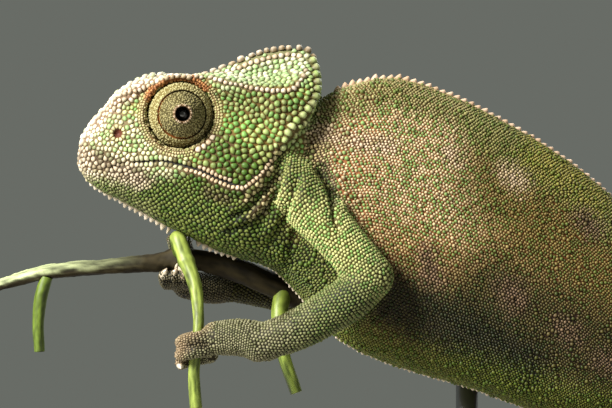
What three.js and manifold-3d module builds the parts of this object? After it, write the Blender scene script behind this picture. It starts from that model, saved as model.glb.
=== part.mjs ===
// A common chameleon at life size, gripping a cut branch that two rods hold over a flat base.
// Millimetres, +Z up. The animal faces -X and its left side faces -Y. The shapes are worked out in the
// animal's own frame, whose origin lies in the chest between the shoulders, and the group at the end
// sets that frame over the base, so that the part's origin is the middle of the base's underside.
import * as THREE from "three";
import { mergeVertices } from "three/addons/utils/BufferGeometryUtils.js";
import Module from "manifold-3d";

const wasm = await Module();
wasm.setup();

// ---- driving dimensions ----
const GAP = 0.3; // clearance left wherever two solids meet
const WELD = 1e-4; // points nearer than this are one
const BASE = { length: 128, width: 76, thickness: 6, corner: 12, chamfer: 0.8, cornerFacets: 4 };
const CHEST_ABOVE_BASE = { x: -28, z: 95 }; // the animal frame's origin in the part's frame
// The rods: search is the number of steps along the branch in which each rod's x is looked for.
const ROD = { radius: 1.7, facets: 14, x: [24, 71], search: 400 };
// Facets round each part, and steps along it.
const FACETS = { body: 18, limb: 7, claw: 3, tail: 7, branch: 8, stalk: 6, eye: 14, lens: 6 };
const DOME = 60; // degrees round a limb's rounded end at which its last ring stands
const STEPS = {
  skull: 15, trunk: 24, casque: 10, limb: 5, palm: 3, toes: 4, branch: 28, stalk: 12, twig: 5, tail: 63,
};

// An eye turret: where it stands, how far it looks back in degrees, and its outline as shares of its
// radius with heights above its foot. The lens is a small ball sunk in the opening at its tip.
const EYE = {
  x: -17.7, z: 12.8, base: 4.0, back: 5, radius: 5.0, dome: 6.4,
  outline: [[0.9, -1.5], [1, 0], [0.96, 1.4], [0.8, 3.2], [0.5, 5.2]],
  pupil: 1.05, lip: 0.25, lipRise: 0.1, depth: 1.7,
  lens: { radius: 0.73, below: 0.65 },
};

// Outline stations: top x, top z, bottom x, bottom z, half width, fullness low on the side.
const SKULL = [
  [-32.7, 8.6, -32.9, 5.2, 1.7, 0],
  [-31.4, 11.4, -31.6, 3.3, 3.5, 0.05],
  [-28.9, 14.3, -29.5, 1.7, 4.9, 0.08],
  [-26.4, 16.8, -26.8, 0.4, 5.8, 0.1],
  [-23.2, 18.6, -23.8, -1.2, 6.6, 0.14],
  [-19.4, 18.9, -20.6, -3.0, 7.4, 0.16],
  [-15.4, 18.6, -16.8, -4.9, 8.3, 0.16],
  [-11.2, 17.8, -13.2, -6.6, 9.1, 0.12],
  [-7.0, 17.0, -9.8, -7.9, 9.5, 0.06],
  [-3.2, 15.6, -6.6, -8.8, 9.0, 0.02],
  [0.6, 13.6, -3.4, -10.4, 8.0, 0],
];
const SKULL_KEEL = 0.86; // below 1 the sides stand fuller, above 1 the section narrows to its top and bottom
const TRUNK = [
  [-4.6, 11.4, -13.0, -6.2, 5.4, 0.06],
  [0.6, 14.4, -8.8, -7.9, 6.4, 0.08],
  [4.6, 16.6, -4.4, -10.0, 7.4, 0.1],
  [9.0, 18.0, 0.2, -14.8, 8.4, 0.14],
  [13.6, 18.3, 4.6, -19.6, 9.3, 0.18],
  [19.4, 16.5, 9.8, -22.4, 10.0, 0.2],
  [25.8, 13.6, 16.4, -24.7, 10.3, 0.22],
  [32.4, 10.0, 23.2, -26.6, 10.3, 0.22],
  [38.4, 6.1, 30.4, -29.2, 9.8, 0.2],
  [44.4, 1.2, 37.8, -31.4, 9.1, 0.16],
  [50.6, -4.6, 45.4, -32.6, 8.2, 0.1],
  [57.4, -11.0, 53.2, -32.8, 7.2, 0.04],
  [64.2, -17.8, 60.4, -33.6, 6.2, 0],
  [70.6, -24.4, 67.2, -35.8, 5.2, 0],
  [76.6, -30.4, 73.8, -39.0, 4.3, 0],
  [80.4, -34.0, 77.8, -41.6, 3.9, 0],
];

const TRUNK_KEEL = 1.02;

// The casque: bands from the brow back to the rim of the flaps. Each band's points run down one side:
// the middle ridge, the hollow of the side face, the side crest, the edge under it, and its foot.
const CASQUE = [
  [[-16.0, 0, 18.5], [-16.0, 2.5, 18.3], [-16.0, 4.9, 18.2], [-16.0, 4.9, 16.4], [-16.0, 2.0, 14.5]],
  [[-12.2, 0, 20.0], [-12.2, 2.6, 18.7], [-12.6, 5.8, 18.0], [-12.6, 5.9, 16.0], [-12.0, 3.0, 13.5]],
  [[-8.0, 0, 21.8], [-8.0, 2.8, 19.0], [-8.6, 6.7, 16.9], [-8.8, 7.1, 15.0], [-9.0, 4.0, 12.0]],
  [[-4.6, 0, 22.7], [-4.6, 2.5, 19.6], [-5.2, 7.3, 16.2], [-6.0, 8.1, 13.6], [-7.0, 6.0, 9.0]],
  [[-1.8, 0, 22.9], [-1.8, 2.0, 20.6], [-2.0, 7.2, 16.4], [-3.2, 8.9, 12.2], [-5.4, 8.0, 7.0]],
  [[0.4, 0, 22.6], [0.9, 1.2, 21.2], [1.7, 5.6, 17.2], [0.1, 8.2, 12.0], [-3.4, 9.2, 7.6]],
  [[1.2, 0, 21.4], [1.8, 0.9, 19.8], [1.9, 3.6, 15.6], [-0.4, 5.4, 11.4], [-3.6, 6.6, 8.2]],
];

// Planes that part the body, each through a top and a bottom point: top x, top z, bottom x, bottom z.
const HEAD_CUT = [2.6, 15.6, -13.4, -6.4];
const NECK_CUT = [8.4, 18.6, -1.6, -12.8];
const WAIST_CUT = [38.4, 6.8, 30.4, -29.6];
const VENT_CUT = [76.6, -30.0, 73.8, -38.8];

// The soft cones along the back and the throat: spacing, and each cone's radius, height and lean.
const DORSAL = { spacing: 2.4, radius: 0.5, height: 0.7, lean: 0.5 };
const GULAR = { spacing: 1.15, radius: 0.45, height: 1.0, lean: -0.35, down: true };
const CONE_FACETS = 4;

// Centre lines: x, y, z, radius. The left limbs carry the weight on the near stalk and the branch.
const ARM_LEFT = {
  upper: [
    [-2.6, -4.0, 4.4, 4.4], [0.4, -7.6, 0.2, 4.2], [4.6, -10.0, -4.8, 3.5], [9.0, -11.4, -10.0, 3.3],
  ],
  fore: [
    [9.2, -11.4, -10.2, 3.4], [5.6, -11.3, -13.6, 3.35],
    [-0.6, -10.4, -17.4, 3.1], [-6.8, -9.0, -19.8, 2.75],
  ],
};
const ARM_RIGHT = {
  upper: [
    [-2.6, 4.0, 4.4, 4.4], [0.2, 8.2, 0.0, 4.2], [3.4, 12.4, -7.4, 3.5], [5.6, 14.2, -14.0, 3.2],
  ],
  fore: [
    [5.6, 14.2, -14.2, 3.2], [0.6, 12.6, -14.2, 3.1], [-5.6, 10.4, -13.0, 2.8], [-11.6, 8.3, -12.0, 2.5],
  ],
};
const LEG_LEFT = {
  thigh: [
    [64.6, -2.8, -25.6, 4.4], [61.4, -8.4, -24.8, 4.1],
    [57.6, -13.0, -25.2, 3.4], [54.6, -16.0, -26.8, 2.9],
  ],
  shank: [
    [54.6, -16.0, -27.0, 3.0], [55.6, -13.0, -30.8, 2.9],
    [56.6, -8.6, -34.6, 2.4], [57.2, -4.6, -37.2, 2.2],
  ],
};
const LEG_RIGHT = {
  thigh: [
    [64.6, 2.8, -25.6, 4.4], [63.6, 8.8, -25.6, 4.1], [61.6, 13.6, -27.0, 3.4], [60.2, 16.6, -29.4, 2.9],
  ],
  shank: [
    [60.2, 16.6, -29.6, 3.0], [62.2, 13.6, -33.6, 2.9], [64.8, 8.8, -37.6, 2.4], [66.4, 4.6, -40.6, 2.2],
  ],
};

// The gripping hands and feet. Each has a palm and two bundles of toes that turn about a stem: the place
// and way of the stem, the way from it to the palm, its radius and a toe's. A bundle has a count of toes,
// the degrees round the stem at which it starts and ends, and how it lies and moves along the stem.
const HANDS = {
  left: {
    palm: [[-5.6, -9.2, -19.6, 2.7], [-9.2, -8.6, -18.9, 2.75], [-12.6, -8.2, -19.0, 2.5]],
    stem: [-15.6, -7.3, -19.9], axis: [0, 0, -1], out: [1, 0, 0], radius: 0.8, size: 1.15,
    bundles: [
      { count: 2, from: 20, to: 175, shift: -0.5, drift: 1.2, spread: 1.9 },
      { count: 3, from: -20, to: -170, shift: 0.1, drift: 1.2, spread: 1.6 },
    ],
  },
  right: {
    palm: [[-10.6, 8.4, -12.1, 2.4], [-14.0, 6.2, -12.4, 2.4], [-17.6, 4.2, -11.9, 2.1]],
    stem: [-18.6, 2.5, -8.3], axis: [1, -0.1, 0], out: [0, 0, -1], radius: 1.8, size: 1.2,
    bundles: [
      { count: 3, from: 45, to: -52, shift: 0, drift: -0.3, spread: 1.45 },
      { count: 2, from: 45, to: 165, shift: 0.2, drift: -0.4, spread: 1.7 },
    ],
  },
};
const FEET = {
  left: {
    palm: [[57.4, -3.4, -37.2, 2.3], [56.2, -1.2, -37.0, 2.4], [55.2, 1.0, -37.2, 2.2]],
    stem: [55.0, 2.2, -41.1], axis: [0.86, -0.34, -0.46], out: [0.3, -0.3, 1], radius: 2.1, size: 1.25,
    bundles: [
      { count: 3, from: 20, to: 140, shift: -0.2, drift: -0.8, spread: 1.6 },
      { count: 2, from: -20, to: -135, shift: -0.2, drift: -0.8, spread: 1.9 },
    ],
  },
  right: {
    palm: [[66.4, 3.4, -40.6, 2.3], [65.6, 1.8, -40.6, 2.4], [64.8, 0.4, -41.0, 2.2]],
    stem: [65.0, 0.3, -45.6], axis: [0.92, -0.08, -0.4], out: [0.3, 0.15, 1], radius: 2.15, size: 1.25,
    bundles: [
      { count: 2, from: 20, to: 140, shift: -0.2, drift: -0.8, spread: 1.9 },
      { count: 3, from: -20, to: -135, shift: -0.2, drift: -0.8, spread: 1.6 },
    ],
  },
};

const TOE_TAPER = 0.18; // share of its radius that a toe loses towards its end
const CLAW = { root: 0.55, tip: 0.18, length: 2 }; // length: in toe radii

// The branch and the green stalks on it: x, y, z, radius.
const BRANCH = [
  [-46.0, 0.0, -12.2, 0.75], [-38.0, 0.0, -10.0, 1.15], [-28.0, 1.0, -9.0, 1.2], [-21.5, 2.0, -8.5, 1.5],
  [-18.8, 2.4, -8.2, 1.85], [-15.5, 2.9, -8.3, 1.6], [-10.8, 3.5, -9.4, 1.8], [-5.0, 4.6, -11.8, 1.9],
  [-0.6, 5.8, -13.9, 1.9], [6.4, 8.4, -17.2, 2.0], [16.5, 10.6, -21.2, 2.0], [28.0, 10.6, -26.0, 2.1],
  [40.0, 8.5, -32.2, 2.1], [50.0, 4.2, -38.4, 2.1], [56.0, 1.8, -41.6, 2.1], [62.0, 0.6, -44.4, 2.15],
  [70.0, 0.0, -47.6, 2.2], [77.0, 0.0, -50.0, 2.2],
];
const STALK = [
  [-18.2, 0.9, -7.0, 1.2], [-18.5, -1.6, -5.0, 1.2], [-17.3, -3.2, -8.0, 1.15], [-15.9, -4.8, -11.6, 1.0],
  [-15.3, -6.4, -16.0, 0.8], [-15.5, -7.3, -19.8, 0.8], [-15.9, -7.6, -24.0, 0.85], [-15.6, -7.7, -29.0, 0.9],
];
const TWIG_FRONT = [
  [-37.6, -0.2, -10.6, 0.9], [-38.4, -0.4, -13.6, 0.95],
  [-38.8, -0.4, -17.4, 0.85], [-38.6, -0.4, -21.4, 0.8],
];
const TWIG_REAR = [
  [-3.4, 4.4, -13.0, 1.3], [-3.9, 2.6, -16.4, 1.2], [-3.4, 0.8, -21.4, 1.0], [-1.4, 0.0, -27.4, 0.9],
];

// The tail: a sweep down from the vent that closes into a flat coil, cut into three at two of its steps.
const TAIL = {
  sweep: [[72.6, -32.2], [79.0, -37.4], [86.4, -43.6], [93.4, -50.8], [98.6, -59.2]],
  sweepEnd: [100.6, -67.6], coilRadius: 12.0, coilEnd: 3.4, turns: 1.72, pointsPerTurn: 10,
  root: 3.9, tip: 0.75, taper: 0.85, cuts: [19, 38],
};

// ---- solids from geometries ----
function solid(geometry) {
  const bare = geometry.index ? geometry.toNonIndexed() : geometry.clone();
  bare.deleteAttribute("normal");
  bare.deleteAttribute("uv");
  const merged = mergeVertices(bare, WELD);
  return new wasm.Manifold(
    new wasm.Mesh({
      numProp: 3,
      vertProperties: merged.attributes.position.array,
      triVerts: new Uint32Array(merged.index.array),
    }),
  );
}

function geometryOf(manifold) {
  const mesh = manifold.getMesh();
  const geometry = new THREE.BufferGeometry();
  geometry.setAttribute("position", new THREE.BufferAttribute(new Float32Array(mesh.vertProperties), 3));
  geometry.setIndex(new THREE.BufferAttribute(new Uint32Array(mesh.triVerts), 1));
  geometry.computeVertexNormals();
  return geometry;
}

// Joins equal rings of points into one closed surface, each end closed by a fan on its middle.
function surfaceThrough(rings) {
  const count = rings[0].length;
  const points = rings.flat();
  const faces = [];
  for (let i = 0; i + 1 < rings.length; i++)
    for (let j = 0; j < count; j++) {
      const a = i * count + j;
      const b = i * count + ((j + 1) % count);
      faces.push(a, b, a + count, b, b + count, a + count);
    }
  const middle = (ring) => ring.reduce((sum, p) => sum.add(p), new THREE.Vector3()).divideScalar(count);
  const last = (rings.length - 1) * count;
  const start = points.push(middle(rings[0])) - 1;
  const end = points.push(middle(rings.at(-1))) - 1;
  for (let j = 0; j < count; j++) {
    const next = (j + 1) % count;
    faces.push(start, next, j, end, last + j, last + next);
  }
  const geometry = new THREE.BufferGeometry().setFromPoints(points);
  geometry.setIndex(faces);
  const made = solid(geometry);
  if (made.volume() > 0) return made;
  for (let i = 0; i < faces.length; i += 3) [faces[i + 1], faces[i + 2]] = [faces[i + 2], faces[i + 1]];
  geometry.setIndex(faces);
  return solid(geometry);
}

// A smooth line through points given as x, y, z.
function through(points) {
  return new THREE.CatmullRomCurve3(points.map((p) => new THREE.Vector3(...p)), false, "catmullrom");
}

// A flat-sided body whose sections stand between a top and a bottom outline.
function bodyLoft(stations, { steps, keel, grow }) {
  const facets = FACETS.body;
  const tops = through(stations.map((s) => [s[0], 0, s[1]]));
  const bottoms = through(stations.map((s) => [s[2], 0, s[3]]));
  const widths = through(stations.map((s) => [s[4], s[5], 0]));
  const rings = [];
  for (let i = 0; i <= steps; i++) {
    const top = tops.getPoint(i / steps);
    const bottom = bottoms.getPoint(i / steps);
    const { x: width, y: low } = widths.getPoint(i / steps);
    const middle = top.clone().add(bottom).multiplyScalar(0.5);
    const half = top.clone().sub(bottom).multiplyScalar(0.5);
    half.setLength(half.length() + grow);
    const ring = [];
    for (let j = 0; j < facets; j++) {
      const angle = (2 * Math.PI * j) / facets;
      const side = Math.sign(Math.sin(angle)) * Math.abs(Math.sin(angle)) ** keel;
      const reach = (width + grow) * side * (1 - low * Math.cos(angle));
      ring.push(middle.clone().addScaledVector(half, Math.cos(angle)).setY(reach));
    }
    rings.push(ring);
  }
  return surfaceThrough(rings);
}

// A round limb along a centre line of x, y, z, radius. A domed end has one more ring beyond it. Where only
// the rings from first to last are taken, each cut end stands back by half a gap. A wide limb is drawn out
// along one axis.
function limb(
  line,
  { facets = FACETS.limb, steps = STEPS.limb, grow = 0, domed = true, first = 0, last = steps, wide } = {},
) {
  const path = through(line.map(([x, y, z]) => [x, y, z]));
  const sizes = through(line.map((p) => [p[3], 0, 0]));
  const frames = path.computeFrenetFrames(steps, false);
  const stops = [];
  if (domed && first === 0) stops.push([0, -DOME]);
  for (let i = first; i <= last; i++) stops.push([i, 0]);
  if (domed && last === steps) stops.push([steps, DOME]);
  const rings = stops.map(([i, turn]) => {
    const lean = THREE.MathUtils.degToRad(turn);
    const radius = sizes.getPoint(i / steps).x + grow;
    const inset = i === first && first > 0 ? GAP / 2 : i === last && last < steps ? -GAP / 2 : 0;
    const shift = radius * Math.sin(lean) + inset;
    const centre = path.getPoint(i / steps).addScaledVector(frames.tangents[i], shift);
    const ring = [];
    for (let j = 0; j < facets; j++) {
      const angle = (2 * Math.PI * j) / facets;
      const arm = frames.normals[i].clone().multiplyScalar(radius * Math.cos(lean) * Math.cos(angle));
      arm.addScaledVector(frames.binormals[i], radius * Math.cos(lean) * Math.sin(angle));
      if (wide) {
        const axis = new THREE.Vector3(...wide.axis).normalize();
        arm.addScaledVector(axis, arm.dot(axis) * (wide.by - 1));
      }
      ring.push(arm.add(centre));
    }
    return ring;
  });
  return surfaceThrough(rings);
}

const union = (pieces) => pieces.reduce((sum, piece) => sum.add(piece));
const without = (piece, ...cutters) => cutters.reduce((rest, cutter) => rest.subtract(cutter), piece);

// A body's largest piece, so that no sliver of a cut goes with it.
function largest(piece) {
  return piece.decompose().sort((a, b) => b.volume() - a.volume())[0];
}

// The part of a body between two planes that hold Y and pass through a top and a bottom point.
function between(piece, front, rear) {
  const planeOf = ([topX, topZ, bottomX, bottomZ]) => {
    const down = new THREE.Vector3(topX - bottomX, 0, topZ - bottomZ);
    const normal = down.cross(new THREE.Vector3(0, -1, 0)).normalize();
    if (normal.x < 0) normal.negate();
    return { normal: normal.toArray(), offset: normal.x * topX + normal.z * topZ };
  };
  let rest = piece;
  if (front) {
    const { normal, offset } = planeOf(front);
    rest = rest.trimByPlane(normal, offset + GAP / 2);
  }
  if (rear) {
    const { normal, offset } = planeOf(rear);
    rest = rest.trimByPlane(normal.map((v) => -v), -(offset - GAP / 2));
  }
  return rest;
}

// ---- the perch ----
const branchOf = (grow) => limb(BRANCH, { facets: FACETS.branch, steps: STEPS.branch, grow, domed: false });
const stalkOf = (grow) => limb(STALK, { facets: FACETS.stalk, steps: STEPS.stalk, grow, domed: false });
const twig = (line) => limb(line, { facets: FACETS.stalk, steps: STEPS.twig, domed: false });
const branch = branchOf(0);
const roundBranch = branchOf(GAP);
const roundPerch = [roundBranch, stalkOf(GAP)];
const stalk = without(stalkOf(0), roundBranch);
const twigFront = without(twig(TWIG_FRONT), roundBranch);
const twigRear = without(twig(TWIG_REAR), roundBranch);

// ---- head ----
const skullOf = (grow) => bodyLoft(SKULL, { steps: STEPS.skull, keel: SKULL_KEEL, grow });
const trunkOf = (grow) => bodyLoft(TRUNK, { steps: STEPS.trunk, keel: TRUNK_KEEL, grow });
const roundSkull = skullOf(GAP);
const roundTrunk = trunkOf(GAP);

// The turret of an eye, turned about Y: a ball drawn out to a blunt cone, with the lens sunk in its tip.
function turret(side, grow = 0) {
  const { outline, radius, dome, pupil, lip, lipRise, depth } = EYE;
  const foot = outline[0][1] - grow;
  const top = dome + grow;
  const outside = outline.map(([share, h], i) => [radius * share + grow, i ? h + grow : foot]);
  const opening = [[pupil + lip + grow, top], [pupil, top - lipRise], [pupil, top - depth], [0, top - depth]];
  const points = [[0, foot], ...outside, ...opening].map(([r, h]) => new THREE.Vector2(r, h));
  return solid(inSocket(new THREE.LatheGeometry(points, FACETS.eye), side));
}

function lens(side) {
  const ball = new THREE.SphereGeometry(EYE.lens.radius, FACETS.lens, FACETS.lens / 2);
  return solid(inSocket(ball.translate(0, EYE.dome - EYE.lens.below, 0), side));
}

// Places a shape that stands along +Y at the eye of one side, looking out and a little back.
function inSocket(geometry, side) {
  geometry.rotateZ(side < 0 ? Math.PI : 0);
  geometry.rotateZ(THREE.MathUtils.degToRad(-side * EYE.back));
  return geometry.translate(EYE.x, side * EYE.base, EYE.z);
}

// The casque's solid: smooth columns through its bands, from the ridge round one side and up the other.
function casqueBody() {
  const columns = CASQUE[0].map((_, k) => through(CASQUE.map((band) => band[k])));
  const rings = Array.from({ length: STEPS.casque + 1 }, (_, i) => {
    const side = columns.map((column) => column.getPoint(i / STEPS.casque));
    const other = side.slice(1).map((p) => new THREE.Vector3(p.x, -p.y, p.z));
    return [...side, ...other.reverse()];
  });
  return surfaceThrough(rings);
}

// Small cones evenly spaced along an outline of x and z. Each cone's lower half lies in the body.
function coneRow(outline, { spacing, radius, height, lean, down = false }) {
  const path = through(outline.map(([x, z]) => [x, 0, z]));
  return path.getSpacedPoints(Math.round(path.getLength() / spacing)).map((place) => {
    const cone = new THREE.ConeGeometry(radius, height * 2, CONE_FACETS, 1);
    cone.rotateX(down ? -Math.PI / 2 : Math.PI / 2);
    cone.rotateY(lean);
    cone.translate(place.x, place.y, place.z);
    return solid(cone);
  });
}

const dorsalCones = coneRow(TRUNK.slice(2).map(([x, z]) => [x, z]), DORSAL);
const gularCones = coneRow(SKULL.slice(2, 6).map(([, , x, z]) => [x, z]), GULAR);
const sockets = [turret(-1, GAP), turret(1, GAP)];
const headAndTrunk = skullOf(0).add(trunkOf(0));
const skull = without(union([between(headAndTrunk, null, HEAD_CUT), ...gularCones]), ...sockets);
const casque = without(casqueBody(), roundSkull, roundTrunk, ...sockets);

// ---- trunk and tail ----
const bodyWithCrest = union([headAndTrunk, ...dorsalCones]);

// The tail's middle line as x and z: the sweep, then the coil.
function tailPoints() {
  const { sweep, sweepEnd, coilRadius, coilEnd, turns, pointsPerTurn } = TAIL;
  const centre = [sweepEnd[0] - coilRadius, sweepEnd[1]];
  const points = [...sweep];
  const count = Math.round(turns * pointsPerTurn);
  for (let i = 0; i <= count; i++) {
    const share = i / count;
    const angle = -2 * Math.PI * turns * share;
    const radius = coilRadius + (coilEnd - coilRadius) * share;
    points.push([centre[0] + radius * Math.cos(angle), centre[1] + radius * Math.sin(angle)]);
  }
  return points;
}

// The tail's centre line in even steps, thinning towards the tip.
function tailLine() {
  const path = through(tailPoints().map(([x, z]) => [x, 0, z]));
  const steps = path.points.length * 3;
  return Array.from({ length: steps }, (_, i) => {
    const share = i / (steps - 1);
    const { x, y, z } = path.getPointAt(share);
    return [x, y, z, TAIL.root * (1 - share) ** TAIL.taper + TAIL.tip * share];
  });
}

const tailLength = (first, last) => limb(tailLine(), { facets: FACETS.tail, steps: STEPS.tail, first, last });
const tailRoot = tailLength(0, TAIL.cuts[0]);
const tailMiddle = tailLength(TAIL.cuts[0], TAIL.cuts[1]);
const tailTip = tailLength(TAIL.cuts[1], STEPS.tail);

// ---- limbs ----
// The middle line of a bundle of toes: it starts on the palm and turns about the stem it grips.
function curl({ stem, axis, out, reach, from, to, shift, drift, radius }) {
  const along = new THREE.Vector3(...axis).normalize();
  const u = new THREE.Vector3(...out);
  u.addScaledVector(along, -u.dot(along)).normalize();
  const v = new THREE.Vector3().crossVectors(along, u);
  return Array.from({ length: STEPS.toes + 1 }, (_, i) => {
    const share = i / STEPS.toes;
    const angle = THREE.MathUtils.degToRad(from + (to - from) * share);
    const p = new THREE.Vector3(...stem)
      .addScaledVector(along, shift + drift * share)
      .addScaledVector(u, reach * Math.cos(angle))
      .addScaledVector(v, reach * Math.sin(angle));
    return [...p.toArray(), radius * (1 - TOE_TAPER * share)];
  });
}

// The claws at a bundle's end, one for each toe, short cones that go on the way the toes point.
function claws(line, axis, { count, spread }) {
  const [a, b] = line.slice(-2).map(([x, y, z]) => new THREE.Vector3(x, y, z));
  const way = b.clone().sub(a).normalize();
  const across = new THREE.Vector3(...axis).normalize();
  return Array.from({ length: count }, (_, i) => {
    const root = b.clone().addScaledVector(across, spread * (i - (count - 1) / 2));
    const tip = root.clone().addScaledVector(way, line.at(-1)[3] * CLAW.length);
    const ends = [[...root.toArray(), CLAW.root], [...tip.toArray(), CLAW.tip]];
    return limb(ends, { facets: FACETS.claw, steps: 1, domed: false });
  });
}

// A gripping hand or foot: a palm and two mittens of grown-together toes that close on a stem.
function grip({ palm, stem, axis, out, radius, bundles, size }) {
  const mittens = bundles.flatMap((bundle) => {
    const line = curl({ stem, axis, out, ...bundle, reach: radius + size + GAP, radius: size });
    const wide = { axis, by: (bundle.spread * (bundle.count - 1)) / 2 / size + 1 };
    return [limb(line, { wide }), ...claws(line, axis, bundle)];
  });
  return union([limb(palm, { steps: STEPS.palm }), ...mittens]);
}

// Cuts a limb into its three named pieces, each clear of the one above it.
function limbPieces(upperLine, lowerLine, handDesign) {
  const around = [roundTrunk, roundSkull, ...roundPerch];
  return {
    upper: largest(without(limb(upperLine), ...around)),
    lower: largest(without(limb(lowerLine), limb(upperLine, { grow: GAP }), ...around)),
    hand: largest(without(grip(handDesign), limb(lowerLine, { grow: GAP }), ...around)),
  };
}

// ---- stand ----
// The base: a slab with rounded corners and chamfered edges, whose underside is at z 0.
function plate({ length, width, thickness, corner, chamfer, cornerFacets }) {
  const [x, y] = [length / 2 - chamfer, width / 2 - chamfer];
  const outline = new THREE.Shape();
  outline.moveTo(-x + corner, -y);
  for (const [sx, sy, start] of [[1, -1, -90], [1, 1, 0], [-1, 1, 90], [-1, -1, 180]])
    outline.absarc(
      sx * (x - corner), sy * (y - corner), corner,
      THREE.MathUtils.degToRad(start), THREE.MathUtils.degToRad(start + 90), false,
    );
  return new THREE.ExtrudeGeometry(outline, {
    depth: thickness - 2 * chamfer,
    bevelThickness: chamfer,
    bevelSize: chamfer,
    bevelSegments: 1,
    curveSegments: cornerFacets,
  }).translate(0, 0, chamfer);
}

// A rod from the base up to the branch, whose underside saddles its top.
function rod(x) {
  const line = through(BRANCH.map(([px, py, pz]) => [px, py, pz]));
  const nearer = (best, p) => (Math.abs(p.x - x) < Math.abs(best.x - x) ? p : best);
  const near = line.getSpacedPoints(ROD.search).reduce(nearer);
  const foot = -CHEST_ABOVE_BASE.z + BASE.thickness + GAP;
  const height = near.z - foot;
  const shaft = new THREE.CylinderGeometry(ROD.radius, ROD.radius, height, ROD.facets).rotateX(Math.PI / 2);
  shaft.translate(near.x, near.y, foot + height / 2);
  return without(solid(shaft), roundBranch);
}

// ---- materials ----
function finish(color, roughness, metalness = 0) {
  return new THREE.MeshStandardMaterial({ color, roughness, metalness });
}

const MATERIALS = {
  skin: finish(0x8a9a55, 0.6),
  turret: finish(0x8b8760, 0.65),
  lens: finish(0x060504, 0.1),
  wood: finish(0x4d4638, 0.85),
  stalk: finish(0x86a03a, 0.55),
  base: finish(0x2b2724, 0.45),
  rod: finish(0x9a9b9d, 0.3, 1),
};

// ---- the whole ----
const armLeft = limbPieces(ARM_LEFT.upper, ARM_LEFT.fore, HANDS.left);
const armRight = limbPieces(ARM_RIGHT.upper, ARM_RIGHT.fore, HANDS.right);
const legLeft = limbPieces(LEG_LEFT.thigh, LEG_LEFT.shank, FEET.left);
const legRight = limbPieces(LEG_RIGHT.thigh, LEG_RIGHT.shank, FEET.right);
const clearOfPerch = (piece) => largest(without(piece, ...roundPerch));

const ANIMAL = {
  head: [clearOfPerch(skull), "skin"],
  casque: [largest(casque), "skin"],
  eye_left: [turret(-1), "turret"],
  eye_right: [turret(1), "turret"],
  lens_left: [lens(-1), "lens"],
  lens_right: [lens(1), "lens"],
  neck: [clearOfPerch(between(bodyWithCrest, HEAD_CUT, NECK_CUT)), "skin"],
  trunk_front: [clearOfPerch(between(bodyWithCrest, NECK_CUT, WAIST_CUT)), "skin"],
  trunk_rear: [clearOfPerch(between(bodyWithCrest, WAIST_CUT, VENT_CUT)), "skin"],
  tail_root: [largest(between(tailRoot, VENT_CUT, null)), "skin"],
  tail_middle: [tailMiddle, "skin"],
  tail_tip: [tailTip, "skin"],
  upper_arm_left: [armLeft.upper, "skin"],
  forearm_left: [armLeft.lower, "skin"],
  hand_left: [armLeft.hand, "skin"],
  upper_arm_right: [armRight.upper, "skin"],
  forearm_right: [armRight.lower, "skin"],
  hand_right: [armRight.hand, "skin"],
  thigh_left: [legLeft.upper, "skin"],
  shank_left: [legLeft.lower, "skin"],
  foot_left: [legLeft.hand, "skin"],
  thigh_right: [legRight.upper, "skin"],
  shank_right: [legRight.lower, "skin"],
  foot_right: [legRight.hand, "skin"],
  perch_branch: [branch, "wood"],
  perch_stalk: [largest(stalk), "stalk"],
  perch_twig_front: [largest(twigFront), "stalk"],
  perch_twig_rear: [largest(twigRear), "stalk"],
  stand_rod_front: [rod(ROD.x[0]), "rod"],
  stand_rod_rear: [rod(ROD.x[1]), "rod"],
};

const chameleon = new THREE.Group();
const animal = new THREE.Group();
animal.position.set(CHEST_ABOVE_BASE.x, 0, CHEST_ABOVE_BASE.z);
for (const [name, [piece, material]] of Object.entries(ANIMAL)) {
  const mesh = new THREE.Mesh(geometryOf(piece), MATERIALS[material]);
  mesh.name = name;
  animal.add(mesh);
}
chameleon.add(animal);

const base = new THREE.Mesh(plate(BASE), MATERIALS.base);
base.name = "stand_base";
chameleon.add(base);

export default chameleon;
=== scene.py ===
"""A common chameleon at life size on a cut branch, held over a flat base by two rods."""

import logging
import math
from dataclasses import dataclass, field, fields
from enum import Enum
from typing import Iterable, Sequence

import bpy
import numpy as np
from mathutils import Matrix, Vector, noise
from mathutils.bvhtree import BVHTree
from mathutils.kdtree import KDTree


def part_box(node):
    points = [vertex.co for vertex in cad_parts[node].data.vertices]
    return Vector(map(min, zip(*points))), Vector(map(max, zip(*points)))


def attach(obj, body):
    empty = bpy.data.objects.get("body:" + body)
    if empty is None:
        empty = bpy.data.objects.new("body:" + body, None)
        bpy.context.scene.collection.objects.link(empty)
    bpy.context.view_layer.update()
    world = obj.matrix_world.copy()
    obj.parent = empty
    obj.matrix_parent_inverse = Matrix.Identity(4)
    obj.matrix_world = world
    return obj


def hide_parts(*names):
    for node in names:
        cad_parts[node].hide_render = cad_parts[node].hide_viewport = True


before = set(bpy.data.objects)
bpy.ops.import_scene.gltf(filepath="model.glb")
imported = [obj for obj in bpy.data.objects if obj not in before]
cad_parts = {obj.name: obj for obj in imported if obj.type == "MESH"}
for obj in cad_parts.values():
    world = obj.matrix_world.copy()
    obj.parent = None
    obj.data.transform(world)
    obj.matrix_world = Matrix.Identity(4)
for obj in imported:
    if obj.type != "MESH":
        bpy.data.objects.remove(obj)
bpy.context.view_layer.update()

logging.basicConfig(level=logging.INFO, format="%(message)s")
log = logging.getLogger("chameleon")

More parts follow.
